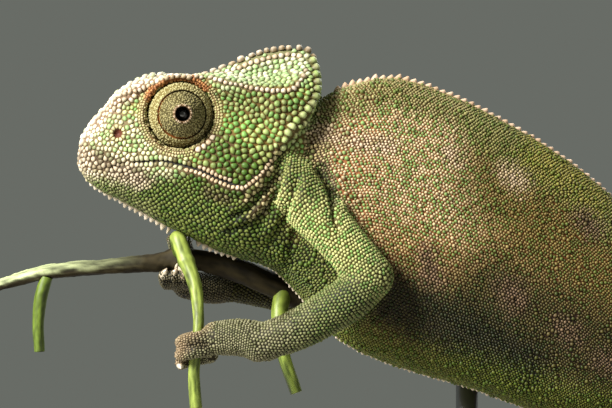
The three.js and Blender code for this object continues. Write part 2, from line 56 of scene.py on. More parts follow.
MM = 0.001  # metres in a millimetre
CHEST = np.array([-28.0, 0.0, 95.0])  # the animal's own origin in the part's frame, in mm
UV_MAP = "OFBake"  # the map that every piece of coat carries
TINT = "tint"  # the stored colour of each vertex
PATCH = 0.0015  # half the width of a scale's place on the map
OUTSIDE = 40.0  # how far to the side a ray starts, clear of the whole animal
SIDES = (-1, 1)  # the left side and the right
SIDE_VIEW = [0, 2]  # the columns of x and z
MIRROR = np.array([1, -1, 1])  # turns one side into the other
LEVEL = np.array([1, 0, 1])  # lays a direction into the middle plane
UP = np.array([0, 0, 1.0])
Rows = Sequence[Sequence[float]]
Colour = tuple[int, int, int]


class Area(Enum):
    """The regions of the body, each with scales of its own."""

    HEAD = 0
    TRUNK = 1
    TAIL = 2
    ARM = 3
    LEG = 4
    PAW = 5


# ---------------------------------------------------------------- curves and lofts


def spline(points: Rows, shares: np.ndarray) -> np.ndarray:
    """Follows a smooth curve through points.

    Args:
        points: The points the curve passes through, at equal steps.
        shares: Places along it, from 0 to 1.

    Returns:
        One row for each share.
    """
    p = np.asarray(points, float)
    p = np.vstack([2 * p[0] - p[1], p, 2 * p[-1] - p[-2]])
    at = np.clip(shares, 0, 1) * (len(points) - 1)
    i = np.minimum(at.astype(int), len(points) - 2)
    w = (at - i)[:, None]
    a, b, c, d = p[i], p[i + 1], p[i + 2], p[i + 3]
    bend, twist = 2 * a - 5 * b + 4 * c - d, 3 * b - a - 3 * c + d
    return 0.5 * (2 * b + (c - a) * w + bend * w**2 + twist * w**3)


def shares_of(count: int) -> np.ndarray:
    """Gives evenly spaced shares from 0 to 1."""
    return np.linspace(0, 1, count)


def turns(count: int) -> np.ndarray:
    """Gives equal steps round a circle, in radians."""
    return np.linspace(0, 2 * math.pi, count, endpoint=False)


def run_along(points: np.ndarray) -> np.ndarray:
    """Measures how far along a broken line each of its corners lies."""
    return np.concatenate([[0], np.cumsum(np.linalg.norm(np.diff(points, axis=0), axis=1))])


def at_runs(at: np.ndarray | float, run: np.ndarray, points: np.ndarray) -> np.ndarray:
    """Finds the places that lie at given distances along a broken line.

    Args:
        at: The distances.
        run: How far along the line each of its corners lies.
        points: The corners.

    Returns:
        One row for each distance, or one place for a single distance.
    """
    return np.stack([np.interp(at, run, column) for column in points.T], -1)


def unit(v: np.ndarray) -> np.ndarray:
    """Scales each row of v to length one."""
    return v / np.maximum(np.linalg.norm(v, axis=-1, keepdims=True), 1e-9)


def fan(u: np.ndarray, v: np.ndarray, angles: np.ndarray) -> np.ndarray:
    """Gives, for each pair of rows of u and v, the directions at each angle from u towards v."""
    return u[:, None] * np.cos(angles)[None, :, None] + v[:, None] * np.sin(angles)[None, :, None]


def sheath(rings: np.ndarray) -> tuple[np.ndarray, list[tuple[int, ...]]]:
    """Joins equal rings of points into one closed surface.

    Args:
        rings: Points by ring and by place round the ring.

    Returns:
        The vertices and the faces, each end closed by one flat face.
    """
    n, m = rings.shape[:2]
    faces = []
    for i in range(n - 1):
        for j in range(m):
            a, b = i * m + j, i * m + (j + 1) % m
            faces.append((a, b, b + m, a + m))
    faces.append(tuple(range(m - 1, -1, -1)))
    faces.append(tuple(range((n - 1) * m, n * m)))
    return rings.reshape(-1, 3), faces


def gathered(parts: Iterable[np.ndarray]) -> tuple[np.ndarray, list[tuple[int, ...]]]:
    """Joins the rings of several closed surfaces into one list of vertices and one of faces."""
    vertices, faces, start = [], [], 0
    for rings in parts:
        v, f = sheath(rings)
        vertices.append(v)
        faces += [tuple(i + start for i in face) for face in f]
        start += len(v)
    return np.concatenate(vertices), faces


@dataclass
class Barrel:
    """A flat-sided body whose sections stand between a top and a bottom outline."""

    stations: Rows  # top x, top z, bottom x, bottom z, half width, fullness low on the side
    keel: float  # below 1 squares the section's top and bottom, above 1 sharpens them

    def rings(self, shares: np.ndarray, angles: np.ndarray) -> np.ndarray:
        """Gives the sections' points.

        Args:
            shares: Places along the body, from 0 to 1.
            angles: Places round it, in radians from the top, positive to the right side.

        Returns:
            Points by section and by angle.
        """
        s = spline(self.stations, shares)
        top = np.stack([s[:, 0], 0 * s[:, 0], s[:, 1]], 1)
        bottom = np.stack([s[:, 2], 0 * s[:, 0], s[:, 3]], 1)
        middle, half = (top + bottom) / 2, (top - bottom) / 2
        cos, sin = np.cos(angles), np.sin(angles)
        side = np.sign(sin) * np.abs(sin) ** self.keel
        points = middle[:, None] + half[:, None] * cos[None, :, None]
        points[:, :, 1] = s[:, 4, None] * side * (1 - s[:, 5, None] * cos)
        return points


DOME = np.radians([15, 32, 50, 68, 84])  # how far up a limb's round end each of its rings lies


@dataclass
class Limb:
    """A round limb along a line of x, y, z and radius."""

    line: Rows
    steep: float = 0.8  # the slope past which the limb's first direction across is taken along x

    def frames(self, shares: np.ndarray) -> tuple[np.ndarray, ...]:
        """Gives centres, radii and two directions across the limb at each share of its length."""
        p = spline(self.line, shares)
        centre, radius = p[:, :3], p[:, 3]
        tangent = unit(np.gradient(centre, axis=0))
        normal = np.zeros_like(tangent)
        seed = np.array([0.0, 0.0, 1.0]) if abs(tangent[0, 2]) < self.steep else np.array([1.0, 0.0, 0.0])
        for i, t in enumerate(tangent):
            seed = seed - t * seed.dot(t)
            seed = seed / np.linalg.norm(seed)
            normal[i] = seed
        return centre, radius, normal, np.cross(tangent, normal)

    def rings(self, steps: int, facets: int, grow: float = 0.0, domes: bool = True) -> np.ndarray:
        """Gives the limb's sections.

        Args:
            steps: How many lengths the limb is cut into.
            facets: The number of points round each section.
            grow: How much is added to the radius.
            domes: Whether the ends are round.

        Returns:
            Points by section and by place round it.
        """
        centre, radius, normal, across = self.frames(shares_of(steps + 1))
        tangent = np.cross(normal, across)
        index, lean = np.arange(steps + 1), np.zeros(steps + 1)
        if domes:
            index = np.concatenate([np.zeros(len(DOME), int), index, np.full(len(DOME), steps)])
            lean = np.concatenate([-DOME[::-1], lean, DOME])
        r = radius[index] + grow
        c = centre[index] + tangent[index] * (r * np.sin(lean))[:, None]
        arm = fan(normal[index], across[index], turns(facets))
        return c[:, None] + arm * (r * np.cos(lean))[:, None, None]


# ---------------------------------------------------------------- mesh helpers


def linked(name: str, data: bpy.types.ID) -> bpy.types.Object:
    """Makes an object of some data and puts it into the scene."""
    made = bpy.data.objects.new(name, data)
    bpy.context.scene.collection.objects.link(made)
    return made


def placed(points: np.ndarray) -> np.ndarray:
    """Takes points in mm in the animal's own frame to metres in the part's."""
    return (points + CHEST) * MM


def new_mesh(
    name: str, vertices: np.ndarray, faces: Sequence[Sequence[int]], smooth: bool = True
) -> bpy.types.Object:
    """Makes a mesh object from points in the animal's frame.

    Args:
        name: The object's name.
        vertices: Points in mm in the animal's own frame.
        faces: Vertex indices of each face.
        smooth: Whether the faces are shaded smooth.

    Returns:
        The new object, in metres in the part's frame.
    """
    mesh = bpy.data.meshes.new(name)
    mesh.from_pydata(placed(vertices).tolist(), [], faces)
    mesh.validate(verbose=False)
    mesh.polygons.foreach_set("use_smooth", [smooth] * len(mesh.polygons))
    return linked(name, mesh)


def paint(mesh: bpy.types.Mesh, tone: np.ndarray) -> None:
    """Stores a colour for each vertex."""
    layer = mesh.attributes.new(TINT, "FLOAT_COLOR", "POINT")
    layer.data.foreach_set("color", np.concatenate([tone, np.ones((len(tone), 1))], 1).ravel())


def tinted(
    name: str, vertices: np.ndarray, faces: Sequence[Sequence[int]], tone: np.ndarray
) -> bpy.types.Object:
    """Makes a smooth mesh with a colour for each vertex."""
    made = new_mesh(name, vertices, faces)
    paint(made.data, tone)
    return made


@dataclass(frozen=True)
class Bead:
    """The faces of one scale or cone: rings of corners below a tip."""

    sides: int
    rings: int

    def quads(self) -> np.ndarray:
        """Gives the four-cornered faces between the rings."""
        low = np.arange(self.sides)
        step = np.roll(low, -1)
        starts = np.arange(self.rings - 1) * self.sides
        first = np.stack([low, step, step + self.sides, low + self.sides], 1)
        return np.concatenate([first + start for start in starts])

    def tris(self) -> np.ndarray:
        """Gives the three-cornered faces round the tip."""
        top = (self.rings - 1) * self.sides
        low = np.arange(self.sides)
        return np.stack([low + top, np.roll(low, -1) + top, np.full(self.sides, self.rings * self.sides)], 1)


def joined(name: str, bead: Bead, points: np.ndarray, tone: np.ndarray, uv: np.ndarray) -> bpy.types.Object:
    """Makes one mesh of many scales.

    Args:
        name: The object's name.
        bead: The faces of each scale.
        points: Points by scale and by place in the scale.
        tone: Colours in the same order.
        uv: Map places in the same order.

    Returns:
        The new object, in metres in the part's frame.
    """
    quads, tris = bead.quads(), bead.tris()
    n, m = points.shape[:2]
    starts = (np.arange(n) * m)[:, None]
    loops = np.concatenate([quads.reshape(1, -1) + starts, tris.reshape(1, -1) + starts], 1).ravel()
    sizes = np.tile(np.concatenate([np.full(len(quads), 4), np.full(len(tris), 3)]), n)
    mesh = bpy.data.meshes.new(name)
    mesh.vertices.add(n * m)
    mesh.vertices.foreach_set("co", placed(points.reshape(-1, 3)).ravel())
    mesh.loops.add(len(loops))
    mesh.loops.foreach_set("vertex_index", loops)
    mesh.polygons.add(len(sizes))
    mesh.polygons.foreach_set("loop_start", np.concatenate([[0], np.cumsum(sizes)[:-1]]))
    mesh.polygons.foreach_set("use_smooth", np.ones(len(sizes), bool))
    mesh.update(calc_edges=True)
    paint(mesh, tone.reshape(-1, 3))
    layer = mesh.uv_layers.new(name=UV_MAP)
    layer.uv.foreach_set("vector", uv.reshape(-1, 2)[loops].ravel())
    return linked(name, mesh)


def search_tree(points: np.ndarray) -> KDTree:
    """Makes a tree that finds the nearest of the points."""
    tree = KDTree(len(points))
    for i, p in enumerate(points.tolist()):
        tree.insert(p, i)
    tree.balance()
    return tree


def neighbours(points: np.ndarray, count: int) -> tuple[np.ndarray, np.ndarray]:
    """Finds the nearest other points of each point, and how far away they are."""
    tree = search_tree(points)
    found = [tree.find_n(p, count + 1)[1:] for p in points.tolist()]
    return tuple(np.array([[f[k] for f in row] for row in found]) for k in (1, 2))


def nearest_on_line(points: np.ndarray, line: Rows) -> tuple[np.ndarray, np.ndarray]:
    """Measures from points to a broken line.

    Args:
        points: Points, one a row.
        line: The corners of the line, with as many coordinates as the points.

    Returns:
        Each point's distance, and its place along the line from 0 to 1.
    """
    corners = np.asarray(line, float)
    lengths = np.linalg.norm(np.diff(corners, axis=0), axis=1)
    starts = run_along(corners)
    best = np.full(len(points), np.inf)
    share = np.zeros(len(points))
    for a, b, start, length in zip(corners[:-1], corners[1:], starts, lengths):
        w = np.clip((points - a) @ (b - a) / length**2, 0, 1)
        d = np.linalg.norm(points - a - w[:, None] * (b - a), axis=1)
        nearer = d < best
        best[nearer] = d[nearer]
        share[nearer] = ((start + w * length) / starts[-1])[nearer]
    return best, share


def smoothstep(low: float, high: float, x: np.ndarray) -> np.ndarray:
    """Rises smoothly from 0 at low to 1 at high."""
    w = np.clip((x - low) / (high - low), 0, 1)
    return w * w * (3 - 2 * w)


def blend(low: np.ndarray, high: np.ndarray, share: np.ndarray | float) -> np.ndarray:
    """Goes from low towards high by a share."""
    return low + (high - low) * share


# ---------------------------------------------------------------- the animal's measurements, in mm

SKULL = Barrel(
    stations=(
        (-32.7, 8.6, -32.9, 5.2, 1.7, 0),
        (-31.4, 11.4, -31.6, 3.3, 3.5, 0.05),
        (-28.9, 14.3, -29.5, 1.7, 4.9, 0.08),
        (-26.4, 16.8, -26.8, 0.4, 5.8, 0.1),
        (-23.2, 18.6, -23.8, -1.2, 6.6, 0.14),
        (-19.4, 18.9, -20.6, -3.0, 7.4, 0.16),
        (-15.4, 18.6, -16.8, -4.9, 8.3, 0.16),
        (-11.2, 17.8, -13.2, -6.6, 9.1, 0.12),
        (-7.0, 17.0, -9.8, -7.9, 9.5, 0.06),
        (-3.2, 15.6, -6.6, -8.8, 9.0, 0.02),
        (0.6, 13.6, -3.4, -10.4, 8.0, 0),
    ),
    keel=0.86,
)
TRUNK = Barrel(
    stations=(
        (-4.6, 11.4, -13.0, -6.2, 5.4, 0.06),
        (0.6, 14.4, -8.8, -7.9, 6.4, 0.08),
        (4.6, 16.6, -4.4, -10.0, 7.4, 0.1),
        (9.0, 18.0, 0.2, -14.8, 8.4, 0.14),
        (13.6, 18.3, 4.6, -19.6, 9.3, 0.18),
        (19.4, 16.5, 9.8, -22.4, 10.0, 0.2),
        (25.8, 13.6, 16.4, -24.7, 10.3, 0.22),
        (32.4, 10.0, 23.2, -26.6, 10.3, 0.22),
        (38.4, 6.1, 30.4, -29.2, 9.8, 0.2),
        (44.4, 1.2, 37.8, -31.4, 9.1, 0.16),
        (50.6, -4.6, 45.4, -32.6, 8.2, 0.1),
        (57.4, -11.0, 53.2, -32.8, 7.2, 0.04),
        (64.2, -17.8, 60.4, -33.6, 6.2, 0),
        (70.6, -24.4, 67.2, -35.8, 5.2, 0),
        (76.6, -30.4, 73.8, -39.0, 4.3, 0),
        (80.4, -34.0, 77.8, -41.6, 3.9, 0),
    ),
    keel=1.02,
)
# The casque's bands from the brow back to the rim of the flaps, each from the middle ridge down one side.
CASQUE: tuple[Rows, ...] = (
    ((-16.0, 0, 18.5), (-16.0, 2.5, 18.3), (-16.0, 4.9, 18.2), (-16.0, 4.9, 16.4), (-16.0, 2.0, 14.5)),
    ((-12.2, 0, 20.0), (-12.2, 2.6, 18.7), (-12.6, 5.8, 18.0), (-12.6, 5.9, 16.0), (-12.0, 3.0, 13.5)),
    ((-8.0, 0, 21.8), (-8.0, 2.8, 19.0), (-8.6, 6.7, 16.9), (-8.8, 7.1, 15.0), (-9.0, 4.0, 12.0)),
    ((-4.6, 0, 22.7), (-4.6, 2.5, 19.6), (-5.2, 7.3, 16.2), (-6.0, 8.1, 13.6), (-7.0, 6.0, 9.0)),
    ((-1.8, 0, 22.9), (-1.8, 2.0, 20.6), (-2.0, 7.2, 16.4), (-3.2, 8.9, 12.2), (-5.4, 8.0, 7.0)),
    ((0.4, 0, 22.6), (0.9, 1.2, 21.2), (1.7, 5.6, 17.2), (0.1, 8.2, 12.0), (-3.4, 9.2, 7.6)),
    ((1.2, 0, 21.4), (1.8, 0.9, 19.8), (1.9, 3.6, 15.6), (-0.4, 5.4, 11.4), (-3.6, 6.6, 8.2)),
)
ARMS = {
    "upper_arm_left": Limb(
        ((-2.6, -4.0, 4.4, 4.4), (0.4, -7.6, 0.2, 4.2), (4.6, -10.0, -4.8, 3.5), (9.0, -11.4, -10.0, 3.3))
    ),
    "forearm_left": Limb(
        (
            (9.2, -11.4, -10.2, 3.4), (5.6, -11.3, -13.6, 3.35), (-0.6, -10.4, -17.4, 3.1),
            (-6.8, -9.0, -19.8, 2.75),
        )
    ),
    "upper_arm_right": Limb(
        ((-2.6, 4.0, 4.4, 4.4), (0.2, 8.2, 0.0, 4.2), (3.4, 12.4, -7.4, 3.5), (5.6, 14.2, -14.0, 3.2))
    ),
    "forearm_right": Limb(
        ((5.6, 14.2, -14.2, 3.2), (0.6, 12.6, -14.2, 3.1), (-5.6, 10.4, -13.0, 2.8), (-11.6, 8.3, -12.0, 2.5))
    ),
}
LEGS = {
    "thigh_left": Limb(
        (
            (64.6, -2.8, -25.6, 4.4), (61.4, -8.4, -24.8, 4.1), (57.6, -13.0, -25.2, 3.4),
            (54.6, -16.0, -26.8, 2.9),
        )
    ),
    "shank_left": Limb(
        (
            (54.6, -16.0, -27.0, 3.0), (55.6, -13.0, -30.8, 2.9), (56.6, -8.6, -34.6, 2.4),
            (57.2, -4.6, -37.2, 2.2),
        )
    ),
    "thigh_right": Limb(
        ((64.6, 2.8, -25.6, 4.4), (63.6, 8.8, -25.6, 4.1), (61.6, 13.6, -27.0, 3.4), (60.2, 16.6, -29.4, 2.9))
    ),
    "shank_right": Limb(
        ((60.2, 16.6, -29.6, 3.0), (62.2, 13.6, -33.6, 2.9), (64.8, 8.8, -37.6, 2.4), (66.4, 4.6, -40.6, 2.2))
    ),
}
BRANCH = (
    (-46.0, 0.0, -12.2, 0.75), (-38.0, 0.0, -10.0, 1.15), (-28.0, 1.0, -9.0, 1.2), (-21.5, 2.0, -8.5, 1.5),
    (-18.8, 2.4, -8.2, 1.85), (-15.5, 2.9, -8.3, 1.6), (-10.8, 3.5, -9.4, 1.8), (-5.0, 4.6, -11.8, 1.9),
    (-0.6, 5.8, -13.9, 1.9), (6.4, 8.4, -17.2, 2.0), (16.5, 10.6, -21.2, 2.0), (28.0, 10.6, -26.0, 2.1),
    (40.0, 8.5, -32.2, 2.1), (50.0, 4.2, -38.4, 2.1), (56.0, 1.8, -41.6, 2.1), (62.0, 0.6, -44.4, 2.15),
    (70.0, 0.0, -47.6, 2.2), (77.0, 0.0, -50.0, 2.2),
)
STALK = (
    (-18.2, 0.9, -7.0, 1.2), (-18.5, -1.6, -5.0, 1.2), (-17.3, -3.2, -8.0, 1.15), (-15.9, -4.8, -11.6, 1.0),
    (-15.3, -6.4, -16.0, 0.8), (-15.5, -7.3, -19.8, 0.8), (-15.9, -7.6, -24.0, 0.85),
    (-15.6, -7.7, -29.0, 0.9),
)
TWIG_FRONT = (
    (-37.6, -0.2, -10.6, 0.9), (-38.4, -0.4, -13.6, 0.95), (-38.8, -0.4, -17.4, 0.85),
    (-38.6, -0.4, -21.4, 0.8),
)
TWIG_REAR = (
    (-3.4, 4.4, -13.0, 1.3), (-3.9, 2.6, -16.4, 1.2), (-3.4, 0.8, -21.4, 1.0), (-1.4, 0.0, -27.4, 0.9),
)
CLEAR = 0.3  # room between a toe and the stem it grips


@dataclass(frozen=True)
class Bundle:
    """Toes grown together into a mitten that turns about a stem."""

    count: int
    start: float  # degrees round the stem
    end: float
    shift: float  # along the stem
    drift: float
    spread: float  # between one toe and the next


@dataclass(frozen=True)
class Paw:
    """A hand or foot that grips a stem with two bundles of toes."""

    palm: Rows
    stem: tuple[float, float, float]
    axis: tuple[float, float, float]
    out: tuple[float, float, float]
    radius: float
    size: float
    bundles: tuple[Bundle, Bundle]
    taper: float = 0.18
    points: int = 5  # along each toe

    def curl(self, bundle: Bundle, aside: float = 0.0) -> list[list[float]]:
        """Gives a bundle's middle line, or one of its toes' where aside is that toe's place across."""
        along = unit(np.array(self.axis))
        u = np.array(self.out)
        u = unit(u - along * u.dot(along))
        v = np.cross(along, u)
        line = []
        reach = self.radius + self.size + CLEAR
        for share in shares_of(self.points):
            angle = math.radians(bundle.start + (bundle.end - bundle.start) * share)
            p = np.array(self.stem) + along * (bundle.shift + bundle.drift * share + aside)
            p = p + u * reach * math.cos(angle) + v * reach * math.sin(angle)
            line.append([*p, self.size * (1 - self.taper * share)])
        return line

    def places(self, bundle: Bundle) -> np.ndarray:
        """Gives how far across from the bundle's middle each of its toes lies."""
        return (np.arange(bundle.count) - (bundle.count - 1) / 2) * bundle.spread

    def limbs(self) -> list[Limb]:
        """Gives the palm and each toe as limbs."""
        toes = [Limb(self.curl(bundle, aside)) for bundle in self.bundles for aside in self.places(bundle)]
        return [Limb(self.palm), *toes]

    def clefts(self) -> list[Rows]:
        """Gives the lines between neighbouring toes."""
        made = []
        for bundle in self.bundles:
            places = self.places(bundle)
            made += [[p[:3] for p in self.curl(bundle, aside)] for aside in (places[1:] + places[:-1]) / 2]
        return made


PAWS = {
    "hand_left": Paw(
        palm=((-5.6, -9.2, -19.6, 2.7), (-9.2, -8.6, -18.9, 2.75), (-12.6, -8.2, -19.0, 2.5)),
        stem=(-15.6, -7.3, -19.9), axis=(0, 0, -1), out=(1, 0, 0), radius=0.8, size=1.15,
        bundles=(Bundle(2, 20, 175, -0.5, 1.2, 1.9), Bundle(3, -20, -170, 0.1, 1.2, 1.6)),
    ),
    "hand_right": Paw(
        palm=((-10.6, 8.4, -12.1, 2.4), (-14.0, 6.2, -12.4, 2.4), (-17.6, 4.2, -11.9, 2.1)),
        stem=(-18.6, 2.5, -8.3), axis=(1, -0.1, 0), out=(0, 0, -1), radius=1.8, size=1.2,
        bundles=(Bundle(3, 45, -52, 0, -0.3, 1.45), Bundle(2, 45, 165, 0.2, -0.4, 1.7)),
    ),
    "foot_left": Paw(
        palm=((57.4, -3.4, -37.2, 2.3), (56.2, -1.2, -37.0, 2.4), (55.2, 1.0, -37.2, 2.2)),
        stem=(55.0, 2.2, -41.1), axis=(0.86, -0.34, -0.46), out=(0.3, -0.3, 1), radius=2.1, size=1.25,
        bundles=(Bundle(3, 20, 140, -0.2, -0.8, 1.6), Bundle(2, -20, -135, -0.2, -0.8, 1.9)),
    ),
    "foot_right": Paw(
        palm=((66.4, 3.4, -40.6, 2.3), (65.6, 1.8, -40.6, 2.4), (64.8, 0.4, -41.0, 2.2)),
        stem=(65.0, 0.3, -45.6), axis=(0.92, -0.08, -0.4), out=(0.3, 0.15, 1), radius=2.15, size=1.25,
        bundles=(Bundle(2, 20, 140, -0.2, -0.8, 1.9), Bundle(3, -20, -135, -0.2, -0.8, 1.6)),
    ),
}


@dataclass(frozen=True)
class TailShape:
    """The tail: a sweep down from the vent that closes into a flat coil."""

    sweep: Rows = ((72.6, -32.2), (79.0, -37.4), (86.4, -43.6), (93.4, -50.8), (98.6, -59.2))
    sweep_end: tuple[float, float] = (100.6, -67.6)
    coil_radius: float = 12.0
    coil_end: float = 3.4
    turns: float = 1.72
    root: float = 3.9
    tip: float = 0.75
    taper: float = 0.85
    points_a_turn: int = 10
    dense: int = 1200  # points that the curve is measured by

    def limb(self) -> Limb:
        """Gives the tail as a limb of evenly spaced points."""
        centre = (self.sweep_end[0] - self.coil_radius, self.sweep_end[1])
        points = [list(p) for p in self.sweep]
        for share in shares_of(round(self.turns * self.points_a_turn) + 1):
            angle = -2 * math.pi * self.turns * share
            radius = self.coil_radius + (self.coil_end - self.coil_radius) * share
            points.append([centre[0] + radius * math.cos(angle), centre[1] + radius * math.sin(angle)])
        curve = spline(points, shares_of(self.dense))
        run = run_along(curve)
        share = shares_of(len(points) * 3)
        x, z = at_runs(share * run[-1], run, curve).T
        radius = self.root * (1 - share) ** self.taper + self.tip * share
        return Limb(np.stack([x, 0 * x, z, radius], 1).tolist())


TAIL = TailShape().limb()


@dataclass(frozen=True)
class EyePlace:
    """Where an eye turret stands, the socket it stands in, and the collar of skin round that."""

    x: float = -17.9
    z: float = 12.7
    base: float = 4.0  # how far out the turret begins
    back: float = 5.0  # degrees that it looks back
    socket: float = 4.84  # radius of the socket
    floor: float = 0.5  # how far the socket's floor lies below the turret's base
    collar: float = 5.35  # radius of the collar
    collar_width: float = 0.55
    collar_reach: float = 5.9  # how far out the collar stands
    collar_tilt: float = 0.05  # how much further out it stands for each mm lower
    end: float = 7.5  # radius past which the skin stays as it is
    beside: float = 1.5  # how far out the socket begins

    def reach(self, points: np.ndarray) -> np.ndarray:
        """Measures how far points are from the eye's middle in the side view."""
        return np.hypot(points[:, 0] - self.x, points[:, 2] - self.z)


@dataclass(frozen=True)
class NostrilPlace:
    """Where a nostril opens, with a swollen rim round a pit."""

    x: float = -26.9
    z: float = 10.1
    rim: float = 1.0
    rim_width: float = 0.3
    rim_height: float = 0.25
    pit: float = 0.48
    pit_depth: float = 0.7

    def reach(self, points: np.ndarray) -> np.ndarray:
        """Measures how far points are from the nostril's middle in the side view."""
        return np.hypot(points[:, 0] - self.x, points[:, 2] - self.z)

    def rise(self, r: np.ndarray) -> np.ndarray:
        """Gives how far the skin stands out at a distance from the middle."""
        rim = self.rim_height * np.exp(-(((r - self.rim) / self.rim_width) ** 2))
        return rim - self.pit_depth * np.exp(-((r / self.pit) ** 2))


EYE = EyePlace()
NOSTRIL = NostrilPlace()


@dataclass(frozen=True)
class Fold:
    """A ridge or a groove drawn on the skin along a line seen from the side."""

    line: Rows  # x and z
    width: float
    height: float  # below 0 for a groove
    fade: float = 0.12  # share of its length over which each end dies away
    sideways: float = 0.0  # how far it also stands out to the side


MOUTH = (
    (-32.0, 5.6), (-28.6, 5.0), (-24.4, 6.0), (-20.2, 6.1), (-17.5, 5.5), (-15.0, 4.8), (-12.3, 3.5),
    (-10.3, 2.8), (-9.3, 2.8),
)
BROW = (
    (-28.4, 2.9, 13.6), (-26.6, 3.6, 14.9), (-24.4, 4.4, 16.0), (-22.4, 5.0, 17.2), (-20.0, 5.3, 18.35),
    (-17.0, 5.5, 18.7), (-14.0, 5.7, 18.2),
)
CREST = ((-13.6, 18.0), (-10.9, 17.2), (-8.6, 16.7), (-6.0, 16.2), (-2.4, 16.2), (-0.9, 17.4), (0.1, 19.2))
FOLDS = (
    Fold([(x, z) for x, _, z in BROW], 0.8, 0.35, 0.12, 0.75),
    Fold(CREST, 0.55, 0.45, 0.1),
    Fold(((-10.0, 19.4), (-6.0, 19.6), (-2.0, 19.4)), 1.8, -0.5, 0.3),
    Fold(MOUTH[1:], 0.32, -0.35, 0.08),
    Fold(
        (
            (-20.2, 5.3), (-17.5, 4.6), (-15.0, 3.9), (-12.3, 2.6), (-10.0, 1.9), (-8.4, 2.2), (-6.4, 3.8),
            (-4.8, 6.0),
        ),
        0.55, 0.45,
    ),
    Fold(((-20.0, 7.4), (-16.0, 6.9), (-12.6, 5.4), (-10.0, 4.2)), 0.8, 0.3),
    Fold(((-8.4, 0.6), (-6.6, 2.0), (-5.0, 4.6), (-3.8, 7.4)), 0.5, -0.5),
    Fold(((-4.0, 7.0), (-4.9, 5.0), (-6.7, 2.6), (-8.8, 0.4), (-11.4, -0.9)), 0.4, 0.35),
    Fold(((-4.2, 4.4), (-5.8, 1.4), (-8.0, -0.8), (-11.0, -1.9)), 0.36, -0.65),
    Fold(((-3.9, 3.6), (-5.6, 0.6), (-7.9, -1.7), (-10.8, -2.9)), 0.4, 0.35),
    Fold(((-4.3, 1.4), (-6.2, -1.2), (-8.6, -3.0), (-11.8, -4.0)), 0.36, -0.6),
    Fold(((-14.0, 1.2), (-11.6, -0.2), (-9.4, -0.2)), 0.3, -0.3),
    Fold(((-16.4, -1.0), (-13.6, -2.4), (-11.4, -2.8)), 0.3, -0.3),
    Fold(((-2.9, 9.0), (-3.6, 6.0), (-4.2, 2.6), (-5.4, -0.8), (-7.8, -4.2)), 0.7, -0.8),
    Fold(((-1.8, 7.0), (-2.6, 3.0), (-3.8, -0.8), (-6.2, -5.0)), 0.7, 0.45),
    Fold(((-1.0, 4.4), (-2.0, 1.0), (-3.4, -2.4), (-5.8, -6.6)), 0.6, -0.6),
    Fold(((0.6, 5.0), (-0.6, 1.4), (-2.2, -2.0)), 0.7, 0.3),
    Fold(((1.2, 5.6), (3.0, 3.4), (3.8, 0.8), (3.9, -2.2), (5.0, -4.4)), 0.6, -0.8),
    Fold(((4.4, 4.6), (5.4, 1.8), (5.6, -1.0)), 0.9, 0.35),
    Fold(((7.2, 3.6), (7.8, 0.8), (8.0, -2.0)), 0.6, -0.25),
)


